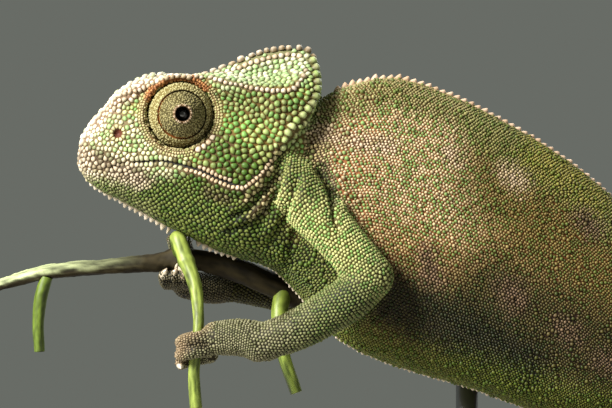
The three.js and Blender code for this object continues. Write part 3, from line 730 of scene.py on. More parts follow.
@dataclass
class Hide:
    """The one skin over the whole animal, fused from its parts and sculpted."""

    depth: float = 0.3  # how far the scales stand over the skin
    paw_share: float = 0.6  # of that depth on hands and feet
    voxel: float = 0.465
    detail: tuple[Rows, Rows] = ((-3.0, 8.0, 66.0, 76.0), (1.3, 0.86, 0.86, 1.15))  # x, and enlargement
    span: tuple[float, float, int] = (-60, 130, 1901)  # the stretch's table: from, to and entries
    strokes: tuple[float, float] = (0.6, -0.5)  # how far one pass smooths and the next pushes back out
    flank: tuple[float, float] = (0.6, 2.0)  # how far from the middle plane the folds fade in
    pushed: tuple[float, float] = (0.8, 2)  # sideways folds stay below this slope and beyond this y
    unwrap: tuple[float, float] = (75, 0.002)  # the map's largest angle, in degrees, and its margin
    seams: int = 6  # rounds of smoothing before the folds are drawn
    vertices: np.ndarray = field(init=False)
    normals: np.ndarray = field(init=False)
    vertex_areas: np.ndarray = field(init=False)
    faces: np.ndarray = field(init=False)
    face_normals: np.ndarray = field(init=False)
    face_sizes: np.ndarray = field(init=False)
    face_areas: np.ndarray = field(init=False)
    edges: np.ndarray = field(init=False)
    tree: BVHTree = field(init=False)
    table: tuple[np.ndarray, np.ndarray] = field(init=False)  # places along x, before and after the stretch
    map: np.ndarray = field(init=False)  # map places of each face's corners

    def forms(self) -> list[tuple[Area, np.ndarray]]:
        """Lists the closed forms that the skin is fused from."""
        made = [
            (Area.HEAD, self._tucked(SKULL.rings(shares_of(90), turns(96)))),
            (Area.TRUNK, self._tucked(TRUNK.rings(shares_of(180), turns(96)))),
            (Area.HEAD, self._tucked(self._casque())),
            (Area.TAIL, TAIL.rings(300, 32, -self.depth)),
        ]
        made += [(Area.ARM, limb.rings(30, 40, -self.depth)) for limb in ARMS.values()]
        made += [(Area.LEG, limb.rings(30, 40, -self.depth)) for limb in LEGS.values()]
        tuck = -self.depth * self.paw_share
        return made + [(Area.PAW, limb.rings(30, 32, tuck)) for paw in PAWS.values() for limb in paw.limbs()]

    def _casque(self) -> np.ndarray:
        """Gives the casque's rings, smooth along and across its bands."""
        across = np.array([spline(band, shares_of(25)) for band in CASQUE])
        along = np.array([spline(across[:, k], shares_of(48)) for k in range(across.shape[1])])
        side = along.transpose(1, 0, 2)
        return np.concatenate([side, side[:, :0:-1] * MIRROR], 1)

    def _tucked(self, rings: np.ndarray) -> np.ndarray:
        """Pulls rings in by the scales' depth, towards their middles."""
        middle = rings.mean(1, keepdims=True)
        arm = rings - middle
        length = np.linalg.norm(arm, axis=2, keepdims=True)
        return middle + arm * np.maximum(length - self.depth, 0.05) / np.maximum(length, 1e-6)

    def build(self) -> None:
        """Fuses the forms, relaxes the seams and sculpts the folds."""
        before = np.linspace(*self.span)
        scale = np.interp(before, *self.detail)
        self.table = before, np.concatenate([[0], np.cumsum((scale[1:] + scale[:-1]) / 2 * np.diff(before))])
        forms = self.forms()
        seeds, faces = gathered(rings for _, rings in forms)
        labels = np.repeat([area.value for area, _ in forms], [rings[..., 0].size for _, rings in forms])
        self._fuse(seeds, faces)
        self._relax(self.seams)
        self._sculpt()
        self._relax(1)
        self._settle()
        tree = search_tree(seeds)
        self.vertex_areas = labels[[tree.find(p)[1] for p in self.vertices]]
        self.face_areas = self.vertex_areas[self.faces[:, 0]]

    def _fuse(self, points: np.ndarray, faces: list[tuple[int, ...]]) -> None:
        """Makes one skin of the forms' surfaces, stretched so that the head and the tail get more detail."""
        by = np.interp(points[:, 0], *self.detail)
        x = np.interp(points[:, 0], *self.table)
        mesh = bpy.data.meshes.new("forms")
        mesh.from_pydata(np.stack([x, points[:, 1] * by, points[:, 2] * by], 1).tolist(), [], faces)
        made = linked("forms", mesh)
        fuse = made.modifiers.new("fuse", "REMESH")
        fuse.mode = "VOXEL"
        fuse.voxel_size = self.voxel
        fused = made.evaluated_get(bpy.context.evaluated_depsgraph_get()).data
        flat = np.empty(len(fused.vertices) * 3)
        fused.vertices.foreach_get("co", flat)
        edges = np.empty(len(fused.edges) * 2, int)
        fused.edges.foreach_get("vertices", edges)
        self.edges = edges.reshape(-1, 2)
        self.faces = np.array([tuple(p.vertices) for p in fused.polygons])
        bpy.data.objects.remove(made)
        x, y, z = flat.reshape(-1, 3).T
        x = np.interp(x, *self.table[::-1])
        by = np.interp(x, *self.detail)
        self.vertices = np.stack([x, y / by, z / by], 1)

    def _relax(self, rounds: int) -> None:
        """Smooths the skin, with each second pass pushing back out so that it keeps its bulk."""
        a, b = self.edges.T
        count = np.bincount(a, minlength=len(self.vertices)) + np.bincount(b, minlength=len(self.vertices))
        for by in self.strokes * rounds:
            total = np.zeros_like(self.vertices)
            np.add.at(total, a, self.vertices[b])
            np.add.at(total, b, self.vertices[a])
            step = total / np.maximum(count, 1)[:, None] - self.vertices
            self.vertices = self.vertices + step * by

    def _settle(self) -> None:
        """Works out the normals, the faces' sizes and the search tree."""
        v, faces = self.vertices, self.faces
        self.tree = BVHTree.FromPolygons(v.tolist(), faces.tolist())
        crossed = np.cross(v[faces[:, 2]] - v[faces[:, 0]], v[faces[:, 3]] - v[faces[:, 1]])
        self.face_sizes = np.linalg.norm(crossed, axis=1) / 2
        normal = np.zeros_like(v)
        for k in range(4):
            np.add.at(normal, faces[:, k], crossed)
        self.normals = unit(normal)
        self.face_normals = unit(self.normals[faces].sum(1))

    def _sculpt(self) -> None:
        """Draws the folds, sinks the nostrils and opens the sockets."""
        self._settle()
        v = self.vertices
        out = np.abs(v[:, 1])
        shift, aside = np.zeros(len(v)), np.zeros(len(v))
        flank = smoothstep(*self.flank, out)
        slope, beside = self.pushed
        for fold in FOLDS:
            d, share = nearest_on_line(v[:, SIDE_VIEW], fold.line)
            ends = smoothstep(0, fold.fade, share) * smoothstep(0, fold.fade, 1 - share)
            drawn = np.exp(-((d / fold.width) ** 2)) * ends * flank
            shift += fold.height * drawn
            aside += fold.sideways * drawn * (self.normals[:, 2] < slope) * (out > beside)
        v = v + self.normals * shift[:, None]
        v[:, 1] += np.sign(v[:, 1]) * aside
        dent = NOSTRIL.rise(NOSTRIL.reach(v))
        v[:, 1] += np.sign(v[:, 1]) * np.where(np.abs(v[:, 1]) > EYE.beside, dent, 0)
        r, out = EYE.reach(v), np.abs(v[:, 1])
        collar = EYE.collar_reach + EYE.collar_tilt * (EYE.z - v[:, 2])
        rise = np.exp(-(((r - EYE.collar) / EYE.collar_width) ** 2)) * np.maximum(collar - out, 0)
        wanted = np.where(r < EYE.socket, np.minimum(out, EYE.base - EYE.floor), out + rise)
        near = (r < EYE.end) & (out > EYE.beside)
        v[near, 1] = (np.sign(v[:, 1]) * wanted)[near]
        self.vertices = v

    def make(self) -> bpy.types.Object:
        """Makes the skin's mesh, with its colours and an unwrap of its own shape."""
        made = new_mesh("skin", self.vertices, self.faces.tolist())
        pigment = Pigment()
        rows = pigment.rows(self.vertices, self.vertex_areas, pigment.blur)
        paint(made.data, rows[:, Hue.BASE])
        made.data.uv_layers.new(name=UV_MAP)
        bpy.context.view_layer.objects.active = made
        made.select_set(True)
        bpy.ops.object.mode_set(mode="EDIT")
        bpy.ops.mesh.select_all(action="SELECT")
        angle, margin = self.unwrap
        bpy.ops.uv.smart_project(angle_limit=math.radians(angle), island_margin=margin)
        bpy.ops.object.mode_set(mode="OBJECT")
        made.select_set(False)
        flat = np.empty(len(made.data.loops) * 2)
        made.data.uv_layers[UV_MAP].uv.foreach_get("vector", flat)
        self.map = flat.reshape(-1, 4, 2)
        return made

    def uv_at(self, points: np.ndarray, faces: np.ndarray) -> np.ndarray:
        """Gives the map places of points that lie on given faces."""
        corners = self.vertices[self.faces[faces]]
        w = 1 / (np.linalg.norm(corners - points[:, None], axis=2) + 0.02) ** 2
        return (self.map[faces] * w[..., None]).sum(1) / w.sum(1, keepdims=True)

    def drop(self, points: np.ndarray) -> tuple[np.ndarray, ...]:
        """Moves points to the nearest place on the skin.

        Args:
            points: Points near the skin.

        Returns:
            The places, the skin's normals there, the faces they lie on and how far the points moved.
        """
        found = [self.tree.find_nearest(p) for p in points.tolist()]
        places, faces, moved = (np.array([f[k] for f in found]) for k in (0, 2, 3))
        return places, self.face_normals[faces], faces, moved

    def from_side(self, places: Rows, sign: int) -> np.ndarray:
        """Finds where places in the side view, as x and z, lie on one side of the skin, if they do."""
        way = Vector((0, -sign, 0))
        hits = [self.tree.ray_cast(Vector((x, sign * OUTSIDE, z)), way)[0] for x, z in places]
        return np.array([h for h in hits if h is not None]).reshape(-1, 3)

    def stepped(self, line: Rows, pitch: float, sign: int, start: float = 0.0) -> np.ndarray:
        """Steps along a line drawn in the side view, on one side of the skin.

        Args:
            line: The line's points, as x and z.
            pitch: The step between the places along it.
            sign: -1 for the left side and 1 for the right.
            start: How far along the line the first place is.

        Returns:
            The places, where the skin was hit.
        """
        path = spline(line, shares_of(200))
        run = run_along(path)
        return self.from_side(at_runs(np.arange(start, run[-1], pitch), run, path), sign)


# ---------------------------------------------------------------- colours


def linear(colour: Sequence[float]) -> np.ndarray:
    """Turns 0-255 display values into linear light."""
    c = np.asarray(colour, float) / 255
    return np.where(c <= 0.04045, c / 12.92, ((c + 0.055) / 1.055) ** 2.4)


@dataclass(frozen=True)
class Hue:
    """The colours of one stretch of coat."""

    crown: Colour
    accent: Colour
    # base: the skin between the scales and each scale's foot, partly painted shade in the gaps
    base: Colour
    share: float = 0.3  # of scales that take the accent

    CROWN, ACCENT, BASE, SHARE = slice(0, 3), slice(3, 6), slice(6, 9), 9  # the columns of its table

    def table(self) -> np.ndarray:
        """Gives crown, accent and base in linear light, then the share, as one row."""
        return np.concatenate([linear(self.crown), linear(self.accent), linear(self.base), [self.share]])


@dataclass(frozen=True)
class Marking:
    """A stroke of colour along a line seen from the side."""

    line: Rows
    width: float
    hue: Hue
    strength: float = 1.0
    soft: float = 0.45
    areas: tuple[Area, ...] = (Area.HEAD, Area.TRUNK, Area.TAIL)
    out: float = 0.0  # how far from the middle plane it begins


def ring(place: EyePlace | NostrilPlace, radius: float, start: float = 0.0, end: float = 360.0) -> Rows:
    """Draws an arc about an eye or a nostril in the side view."""
    turn = np.radians(np.linspace(start, end, 25))
    return np.stack([place.x + radius * np.cos(turn), place.z + radius * np.sin(turn)], 1).tolist()


UPPER = Hue((194, 184, 146), (114, 154, 90), (132, 80, 42), 0.4)
FLANK = Hue((166, 148, 98), (100, 122, 60), (110, 56, 18), 0.4)
# the rear flank: darker skin, partly painted shade where the light falls off towards the tail
REAR_DARK_AND_SHADE = Hue((116, 106, 52), (80, 98, 38), (78, 42, 8), 0.42)
OLIVE = Hue((130, 130, 72), (96, 110, 44), (38, 32, 3), 0.3)
SHADE = Hue((38, 40, 6), (28, 37, 4), (3, 3, 0), 0.3)
# the low flank towards the hips: dark olive skin, partly painted shade
LOW_REAR_AND_SHADE = Hue((62, 60, 14), (46, 58, 12), (12, 8, 0), 0.3)
# the belly: yellow-green skin, darkened as painted shade on the underside
BELLY_AND_SHADE = Hue((102, 114, 34), (82, 104, 24), (16, 17, 0), 0.3)
BLOTCH = Hue((216, 194, 166), (182, 158, 124), (70, 50, 22), 0.3)
# the pale blotch darkened by painted shade, for blotches low on the flank and on the jaw
SHADED_BLOTCH = Hue((124, 100, 78), (94, 73, 50), (24, 13, 4), 0.3)
NAPE = Hue((186, 168, 118), (140, 144, 86), (44, 30, 3), 0.3)
GORGE = Hue((122, 128, 66), (90, 112, 44), (22, 22, 1), 0.3)
THROAT = Hue((104, 116, 50), (80, 102, 34), (13, 19, 0), 0.35)
CHIN = Hue((126, 130, 82), (96, 110, 54), (38, 36, 5), 0.3)
SNOUT = Hue((218, 202, 180), (170, 154, 128), (92, 74, 52), 0.35)
BRIDGE = Hue((246, 234, 214), (204, 206, 172), (132, 112, 90), 0.3)
LORE = Hue((204, 202, 164), (150, 182, 118), (104, 90, 56), 0.4)
CHEEK = Hue((152, 172, 104), (110, 158, 78), (110, 86, 34), 0.5)
JOWL = Hue((76, 94, 28), (60, 88, 22), (42, 30, 0), 0.5)
TEMPLE = Hue((122, 130, 80), (92, 122, 62), (74, 54, 12), 0.45)
MINT = Hue((156, 186, 128), (206, 210, 176), (112, 112, 76), 0.45)
PEARL = Hue((226, 212, 192), (186, 164, 134), (86, 70, 34), 0.4)
SPINE = Hue((228, 198, 172), (198, 168, 138), (122, 94, 62), 0.3)
RUST = Hue((176, 124, 74), (152, 100, 56), (106, 62, 28), 0.4)
RIM = Hue((146, 170, 98), (184, 190, 138), (78, 68, 30), 0.3)
LID = Hue((172, 160, 116), (148, 144, 94), (92, 70, 34), 0.35)
# painted shadow in the slit of the closed mouth
MOUTH_SHADOW = Hue((100, 90, 56), (90, 80, 46), (10, 7, 2), 0.3)
ARM_HUE = Hue((196, 200, 132), (128, 166, 90), (72, 62, 8), 0.3)
FORE_HUE = Hue((124, 132, 78), (94, 114, 56), (13, 11, 0), 0.25)
PAW_HUE = Hue((142, 140, 106), (114, 116, 80), (30, 25, 4), 0.3)
KNUCKLE = Hue((164, 142, 112), (138, 118, 88), (62, 46, 24), 0.3)
OCHRE = Hue((150, 142, 54), (116, 124, 36), (48, 36, 4), 0.3)
CREAM = Hue((206, 190, 148), (176, 164, 116), (70, 52, 22), 0.3)
MOTTLE = Hue((178, 160, 130), (96, 78, 58), (46, 34, 20), 0.5)
NOSE = Hue((150, 108, 82), (124, 76, 50), (84, 40, 22), 0.4)
# painted shadow on the far hand and the far forearm, which lie in the body's shadow
FAR_HAND_SHADOW = Hue((98, 92, 66), (76, 74, 50), (14, 11, 2), 0.3)
FAR_ARM_SHADOW = Hue((70, 68, 26), (58, 60, 22), (7, 7, 0), 0.3)
# painted shade in the clefts between the toes
CLEFT_SHADE = Hue((84, 70, 46), (72, 60, 40), (14, 9, 4), 0.3)
PINK = Hue((232, 214, 192), (204, 188, 162), (118, 92, 70), 0.35)
THORN = Hue((230, 218, 200), (204, 190, 164), (140, 124, 92), 0.3)
BASE_HUES = {
    Area.HEAD: CHEEK, Area.TRUNK: FLANK, Area.TAIL: FLANK,
    Area.ARM: ARM_HUE, Area.LEG: ARM_HUE, Area.PAW: PAW_HUE,
}
MARKINGS = (
    Marking(((-2.0, 10.0), (8.0, 8.0), (20.0, 4.0)), 9.0, UPPER, 1.0, 0.6, (Area.TRUNK,)),
    # the rear flank, darker skin and partly painted shade
    Marking(((30.0, 4.0), (44.0, -8.0), (58.0, -20.0), (70.0, -30.0)), 8.5, REAR_DARK_AND_SHADE, 0.9, 0.5),
    Marking(((26.0, 11.0), (40.0, 2.0), (56.0, -13.0), (72.0, -28.0)), 3.6, OLIVE, 0.8),
    Marking(((2.0, 13.0), (12.0, 16.6), (24.0, 12.8)), 2.4, OLIVE, 0.7, 0.6),
    Marking(((33.0, 7.0), (38.5, 3.0), (41.0, 0.6)), 2.4, OCHRE, 0.6, 0.9),
    # the low flank towards the hips, dark olive and partly painted shade
    Marking(((26.0, -14.0), (40.0, -21.0), (60.0, -28.0)), 7.0, LOW_REAR_AND_SHADE, 0.9, 0.6),
    Marking(((8.6, -11.6), (15.0, -15.0), (22.0, -19.0), (30.0, -24.0)), 5.0, SHADE, 0.95, 0.6),
    # the belly, yellow-green and darkened by painted shade
    Marking(((-2.0, -11.5), (6.0, -21.0), (16.0, -25.0), (34.0, -29.0), (56.0, -34.0)), 4.6, BELLY_AND_SHADE, 0.9, 0.6),
    Marking(((0.0, 13.0), (0.6, 8.0), (0.0, 3.0)), 3.0, NAPE, 0.9, 0.45, (Area.TRUNK,)),
    Marking(((-4.0, 4.0), (-6.0, -2.0), (-6.0, -8.0), (2.0, -14.0)), 3.8, GORGE, 0.95),
    Marking(((1.0, 0.0), (3.0, -7.0), (6.0, -14.0)), 3.6, GORGE, 0.95, 0.3),
    Marking(((-2.4, 8.6), (-3.6, 3.4), (-5.2, -0.8), (-8.0, -4.4)), 0.8, SHADE, 0.7, 0.8),
    Marking(((-0.6, 11.2), (4.0, 9.4), (8.6, 8.6), (12.0, 8.2)), 1.2, BLOTCH, 0.85, 0.8),
    Marking(((20.2, 7.4), (21.4, 6.2)), 1.0, BLOTCH, 0.7, 0.9),
    Marking(((28.6, 4.6), (30.4, 2.8)), 1.3, BLOTCH, 0.75, 0.9),
    # pale blotches low on the flank, darkened by painted shade
    Marking(((39.4, -1.8), (41.0, -3.8)), 1.5, SHADED_BLOTCH, 0.85, 0.9),
    Marking(((17.0, -7.4), (18.0, -10.4)), 1.5, SHADED_BLOTCH, 0.9, 0.9),
    Marking(((28.4, -12.0), (29.6, -13.8)), 1.7, SHADED_BLOTCH, 0.9, 0.9),
    Marking(((36.2, -17.4), (37.6, -18.8)), 1.5, SHADED_BLOTCH, 0.8, 0.9),
    Marking(((42.0, -22.0), (43.6, -23.0)), 1.5, SHADED_BLOTCH, 0.8, 0.9),
    Marking(((50.4, -11.6), (52.2, -13.8)), 1.7, SHADED_BLOTCH, 0.8, 0.9),
    Marking(((59.4, -21.0), (61.0, -22.6)), 1.6, SHADED_BLOTCH, 0.8, 0.9),
    Marking(((-22.0, 3.0), (-12.0, 0.6), (-7.0, 1.0)), 3.4, JOWL, 0.9),
    Marking(((-24.0, -0.8), (-16.0, -4.0), (-9.0, -6.0), (-4.6, -9.0)), 5.4, THROAT),
    Marking(((-33.0, 3.0), (-28.0, 0.4), (-24.0, -1.6)), 2.6, CHIN, 0.8),
    Marking(((-33.0, 6.6), (-28.6, 6.0), (-24.0, 4.8)), 2.4, SNOUT, 0.9),
    Marking(((-32.8, 8.0), (-31.8, 11.0), (-29.4, 13.6)), 1.8, PINK, 0.8, 0.6),
    Marking(((-31.8, 7.4), (-28.4, 6.0), (-25.0, 4.6), (-22.8, 3.8)), 1.4, MOTTLE, 0.62, 0.7),
    Marking(((-29.0, 10.6), (-24.6, 9.4), (-20.0, 6.8)), 3.0, LORE, 0.95),
    Marking(((-32.0, 11.0), (-28.0, 15.4), (-23.0, 18.8), (-17.0, 19.4)), 1.9, BRIDGE),
    Marking(((-26.6, 15.6), (-22.6, 18.4)), 0.7, LORE, 0.5, 0.8),
    Marking(((-30.4, 12.2), (-26.8, 14.6), (-23.2, 16.8)), 1.0, PINK, 0.8),
    Marking(((-10.0, 15.0), (-6.0, 14.4), (-2.0, 13.0)), 2.6, TEMPLE, 0.8),
    Marking(((-13.6, 8.6), (-10.0, 6.0), (-8.0, 4.0)), 2.6, JOWL, 0.7),
    Marking(((-11.0, 19.6), (-6.0, 20.4), (-1.4, 20.6)), 3.2, MINT),
    Marking(((1.6, 20.0), (1.8, 16.0), (0.2, 12.0), (-3.4, 7.6)), 1.2, RIM, 0.8),
    Marking(ring(EYE, 5.4), 0.7, LID, 0.9, 0.3, (Area.HEAD,), 4.2),
    Marking(ring(EYE, 5.35, 44, 152), 0.52, RUST, 1.0, 0.3, (Area.HEAD,), 4.6),
    Marking(ring(NOSTRIL, 0.1), 0.6, NOSE, 1.0, 0.25),
    # painted shadow along the mouth's slit
    Marking(MOUTH[2:], 0.34, MOUTH_SHADOW, 1.0, 0.3),
    Marking(((-3.8, 7.6), (-4.8, 3.0), (-6.2, -1.2)), 0.5, CREAM, 0.8, 0.6),
    Marking(((-4.0, 7.0), (-4.9, 5.0), (-6.7, 2.6), (-8.8, 0.4)), 0.4, CREAM, 0.75, 0.5),
    Marking(((-3.9, 3.6), (-5.6, 0.6), (-7.9, -1.7)), 0.4, CREAM, 0.5, 0.5),
    # a pale blotch low on the jaw, darkened by painted shade
    Marking(((-13.6, 1.6), (-11.2, 0.6)), 0.8, SHADED_BLOTCH, 0.6, 0.8),
    Marking(((-4.2, 4.4), (-5.8, 1.4), (-8.0, -0.8), (-11.0, -1.9)), 0.26, SHADE, 0.8, 0.6),
    Marking(((-4.3, 1.4), (-6.2, -1.2), (-8.6, -3.0), (-11.8, -4.0)), 0.26, SHADE, 0.8, 0.6),
    Marking(((-4.0, 6.4), (-1.6, 4.4), (0.4, 3.0)), 3.0, GORGE, 0.85, 0.6, (Area.ARM,)),
    Marking(((2.4, 5.4), (3.6, 3.0), (4.0, 0.0)), 0.8, SHADE, 0.7, 0.8, (Area.ARM, Area.TRUNK, Area.HEAD)),
    Marking(((-15.0, -16.8), (-18.0, -18.6), (-19.0, -23.0)), 1.6, KNUCKLE, 0.8, 0.6, (Area.PAW,)),
    # painted shadow on the far hand and forearm
    Marking(((-22.0, -10.6), (-10.6, -12.4)), 3.6, FAR_HAND_SHADOW, 1.0, 0.3, (Area.PAW,)),
    Marking(((-11.0, -12.4), (-4.0, -13.0)), 3.0, FAR_ARM_SHADOW, 1.0, 0.3, (Area.ARM,)),
)


def inside(areas: np.ndarray, chosen: Iterable[Area]) -> np.ndarray:
    """Tells which points lie in the chosen areas."""
    return np.isin(areas, [a.value for a in chosen])


@dataclass
class Pigment:
    """Works out the coat's colours from the markings."""

    seed: int = 7
    steady: float = 0.3  # of the scatter that is left on head and hands
    wrist: tuple[float, float] = (0.6, 1.0)  # the forearm's shares over which it takes the hand's colour
    elbow: float = 1.6  # half the width over which the arm's two colours meet
    cleft: tuple[float, float] = (0.95, 1.25)  # how far from a cleft's line its painted shade ends
    cleft_strength: float = 0.7
    edge: float = 0.08  # softens the choice between crown and accent
    bias: float = 0.9  # how much heavier scales lean to the accent
    crown_spread: tuple[float, float] = (0.72, 1.2)
    base_spread: tuple[float, float] = (0.85, 1.1)
    scatter: float = 0.45  # how far the markings' edges are broken up between scales, in mm
    blur: float = 0.2  # and on the skin below them

    def rows(self, points: np.ndarray, areas: np.ndarray, scatter: float) -> np.ndarray:
        """Blends the markings at each point.

        Args:
            points: Points on the skin.
            areas: The value of each point's area.
            scatter: How far a marking's edge is broken up, in mm.

        Returns:
            A row of colours and accent share for each point, as a hue's table gives them.
        """
        rng = np.random.default_rng(self.seed)
        made = np.array([BASE_HUES[area].table() for area in Area])[areas]
        self._shade_arms(made, points, areas == Area.ARM.value)
        astray = np.where(inside(areas, (Area.HEAD, Area.PAW)), self.steady, 1.0) * scatter
        side = points[:, SIDE_VIEW] + rng.normal(0, 1, (len(points), 2)) * astray[:, None]
        # painted shade along the clefts between the toes
        for line in (line for paw in PAWS.values() for line in paw.clefts()):
            d, _ = nearest_on_line(points, line)
            w = (1 - smoothstep(*self.cleft, d)) * (areas == Area.PAW.value) * self.cleft_strength
            made += w[:, None] * (CLEFT_SHADE.table() - made)
        for mark in MARKINGS:
            d, _ = nearest_on_line(side, mark.line)
            w = 1 - smoothstep(mark.width * (1 - mark.soft), mark.width * (1 + mark.soft), d)
            w = mark.strength * w * inside(areas, mark.areas) * (np.abs(points[:, 1]) >= mark.out)
            made += w[:, None] * (mark.hue.table() - made)
        return made

    def _shade_arms(self, rows: np.ndarray, points: np.ndarray, arm: np.ndarray) -> None:
        """Gives the forearms their own colours, down to the hands'."""
        for side in ("left", "right"):
            upper, _ = nearest_on_line(points[arm], [p[:3] for p in ARMS[f"upper_arm_{side}"].line])
            lower, share = nearest_on_line(points[arm], [p[:3] for p in ARMS[f"forearm_{side}"].line])
            w = smoothstep(-self.elbow, self.elbow, upper - lower)[:, None]
            hue = blend(FORE_HUE.table(), PAW_HUE.table(), smoothstep(*self.wrist, share)[:, None])
            rows[arm] += w * (hue - rows[arm])

    def scale_colours(
        self, points: np.ndarray, areas: np.ndarray, weight: np.ndarray
    ) -> tuple[np.ndarray, np.ndarray]:
        """Picks a crown colour and a base colour for each scale; the larger ones lean to the accent."""
        rows = self.rows(points, areas, self.scatter)
        rng = np.random.default_rng(self.seed + 1)
        chance = rng.random(len(points)) - self.bias * (weight - 1)
        share = rows[:, Hue.SHARE]
        takes = smoothstep(share + self.edge, share - self.edge, chance)[:, None]
        crown = rows[:, Hue.CROWN] * (1 - takes) + rows[:, Hue.ACCENT] * takes
        crown = crown * rng.uniform(*self.crown_spread, (len(points), 1))
        return crown, rows[:, Hue.BASE] * rng.uniform(*self.base_spread, (len(points), 1))


# ---------------------------------------------------------------- scales


@dataclass(frozen=True)
class Grain:
    """How large the scales are round a line seen from the side."""

    line: Rows
    width: float
    pitch: float
    areas: tuple[Area, ...] = (Area.HEAD,)
    near: float = 0.7  # share of the width within which the grain is in full
    far: float = 1.2  # and where it ends


BASE_PITCH = {
    Area.HEAD: 0.78, Area.TRUNK: 0.44, Area.TAIL: 0.52, Area.ARM: 0.54, Area.LEG: 0.56, Area.PAW: 0.42,
}
GRAINS = (
    Grain(((-33.0, 6.0), (-24.0, 8.0)), 6.0, 0.66),
    Grain(((-11.0, 9.0), (-6.0, 9.0), (-4.0, 12.0)), 5.5, 0.88),
    Grain(((-11.0, 20.0), (-2.0, 21.0), (0.0, 18.0)), 2.6, 0.86),
    Grain(((-26.0, -1.0), (-14.0, -4.0), (-6.0, -8.0)), 5.0, 0.66),
    Grain(((-17.7, 12.8), (-17.6, 12.8)), 6.6, 0.5),
)


class Shape(Enum):
    """The outlines a scale may have: rings of reach, height and crown colour, and the number of corners."""

    # the crown colour falls to the base colour at each scale's foot, partly painted shade between scales
    GRANULE = (((1.0, -0.25, 0.0), (0.74, 0.6, 0.72)), 6)
    TILE = (((1.0, -0.25, 0.0), (0.92, 0.32, 0.3), (0.62, 0.86, 1.0)), 8)


@dataclass
class Roots:
    """Where scales stand and how each one is shaped; one row or number a scale."""

    points: np.ndarray
    pitch: np.ndarray
    areas: np.ndarray
    rank: np.ndarray  # 0 keeps its place, 1 gives way a little, 2 gives way freely
    weight: np.ndarray  # how much room it claims from its neighbours
    height: np.ndarray
    hue: np.ndarray  # index into ROW_HUES, or -1 for the markings'

    def __len__(self) -> int:
        """Counts the scales."""
        return len(self.points)

    def keep(self, chosen: np.ndarray) -> "Roots":
        """Keeps the chosen scales."""
        return Roots(*(getattr(self, f.name)[chosen] for f in fields(self)))

    @staticmethod
    def joined(parts: Sequence["Roots"]) -> "Roots":
        """Joins several sets of roots."""
        return Roots(*(np.concatenate([getattr(p, f.name) for p in parts]) for f in fields(Roots)))

    @staticmethod
    def of(
        points: np.ndarray, pitch: np.ndarray | float, areas: np.ndarray | int, rank: int,
        hue: int = -1, weight: float = 1.0, rise: float = 0.4,
    ) -> "Roots":
        """Makes roots that share a rank, a hue, a weight and a rise."""
        n = len(points)
        pitch = np.broadcast_to(pitch, n).astype(float)
        areas = np.broadcast_to(areas, n).astype(int)
        height, hues = pitch * rise, np.full(n, hue)
        return Roots(points, pitch, areas, np.full(n, rank), np.full(n, weight), height, hues)


ROW_HUES = (PEARL, RIM, BLOTCH, Hue((204, 198, 150), (178, 172, 120), (104, 86, 56)))


@dataclass(frozen=True)
class Kind:
    """One kind of the head's set scales."""

    pitch: float
    hue: int
    weight: float
    rise: float
    rank: int = 0

    def roots(self, places: np.ndarray) -> Roots:
        """Makes roots of this kind."""
        return Roots.of(places, self.pitch, Area.HEAD.value, self.rank, self.hue, self.weight, self.rise)


# The head's own rows as seen from the side: round the nostril, on the casque, along the lips and by the eye.
HEAD_ROWS = (
    (ring(NOSTRIL, 1.0, 0, 335), Kind(0.58, 3, 0.9, 0.3)),
    (((-13.0, 18.5), (-10.0, 19.5), (-6.9, 20.7), (-2.9, 21.5), (-0.4, 21.3)), Kind(0.9, 0, 1.05, 0.35)),
    (CREST, Kind(0.76, 0, 1.05, 0.5)),
    (((-24.8, 6.5), (-20.2, 6.6), (-17.5, 6.0), (-15.6, 5.5)), Kind(0.7, -1, 0.95, 0.35)),
    (((-15.0, 5.3), (-12.3, 4.0), (-10.3, 3.4)), Kind(0.66, 2, 0.95, 0.4)),
    (((-24.8, 5.5), (-20.2, 5.6), (-17.8, 5.1)), Kind(0.7, -1, 0.95, 0.35)),
    (
        ((-17.5, 4.9), (-15.0, 4.25), (-12.3, 2.95), (-10.0, 2.25), (-8.4, 2.5), (-6.4, 4.1), (-4.8, 6.3)),
        Kind(0.64, 2, 0.95, 0.36),
    ),
    (((-13.2, 9.4), (-14.3, 8.3), (-15.8, 7.4)), Kind(0.9, 0, 1.1, 0.38)),
)
RIM_BEADS, RIM_STEP = Kind(1.2, 1, 1.25, 0.45), 1.08
BROW_BEADS, BROW_COUNT = Kind(0.78, 0, 1.05, 0.5), 22
THROAT_BEADS, THROAT_STEP = Kind(0.66, -1, 1.0, 0.42, 1), 0.78
RIDGE_BEADS, RIDGE_COUNT = Kind(1.1, 0, 1.45, 0.36), 19
SNOUT_BEADS, SNOUT_SHARES = Kind(1.05, -1, 1.1, 0.5), np.linspace(0.08, 0.92, 14)
RIM_LINE = (
    (1.0, 20.6), (1.5, 18.6), (1.6, 16.6), (1.2, 15.2), (0.5, 13.8), (-0.5, 12.6), (-1.4, 11.6),
    (-2.3, 10.3), (-3.0, 9.0), (-3.6, 7.6),
)
JAW_TOP = (
    (-31.8, 5.0), (-26.0, 4.2), (-20.0, 4.4), (-15.0, 3.0), (-11.0, 1.0), (-8.4, 0.8), (-6.2, 2.2),
    (-4.4, 4.4),
)
JAW_LOW = (
    (-31.4, 3.4), (-26.8, 0.4), (-20.6, -3.0), (-16.8, -4.9), (-13.2, -6.6), (-9.8, -7.9), (-6.6, -8.8),
    (-3.0, -8.6),
)
JAW_SHARES = np.arange(0.03, 1, 0.055)  # where the throat's rows lie between the two
LID_RINGS = ((5.12, 0.36), (5.48, 0.38), (5.88, 0.44))  # radius and pitch of the rows round an eye
LID_RISE = 0.35
SNOUT_ROWS = (-1.9, 0, 1.9)  # how far aside the rows over the snout lie
SNOUT_SLOPE = 0.4  # how much lower they lie for each mm aside


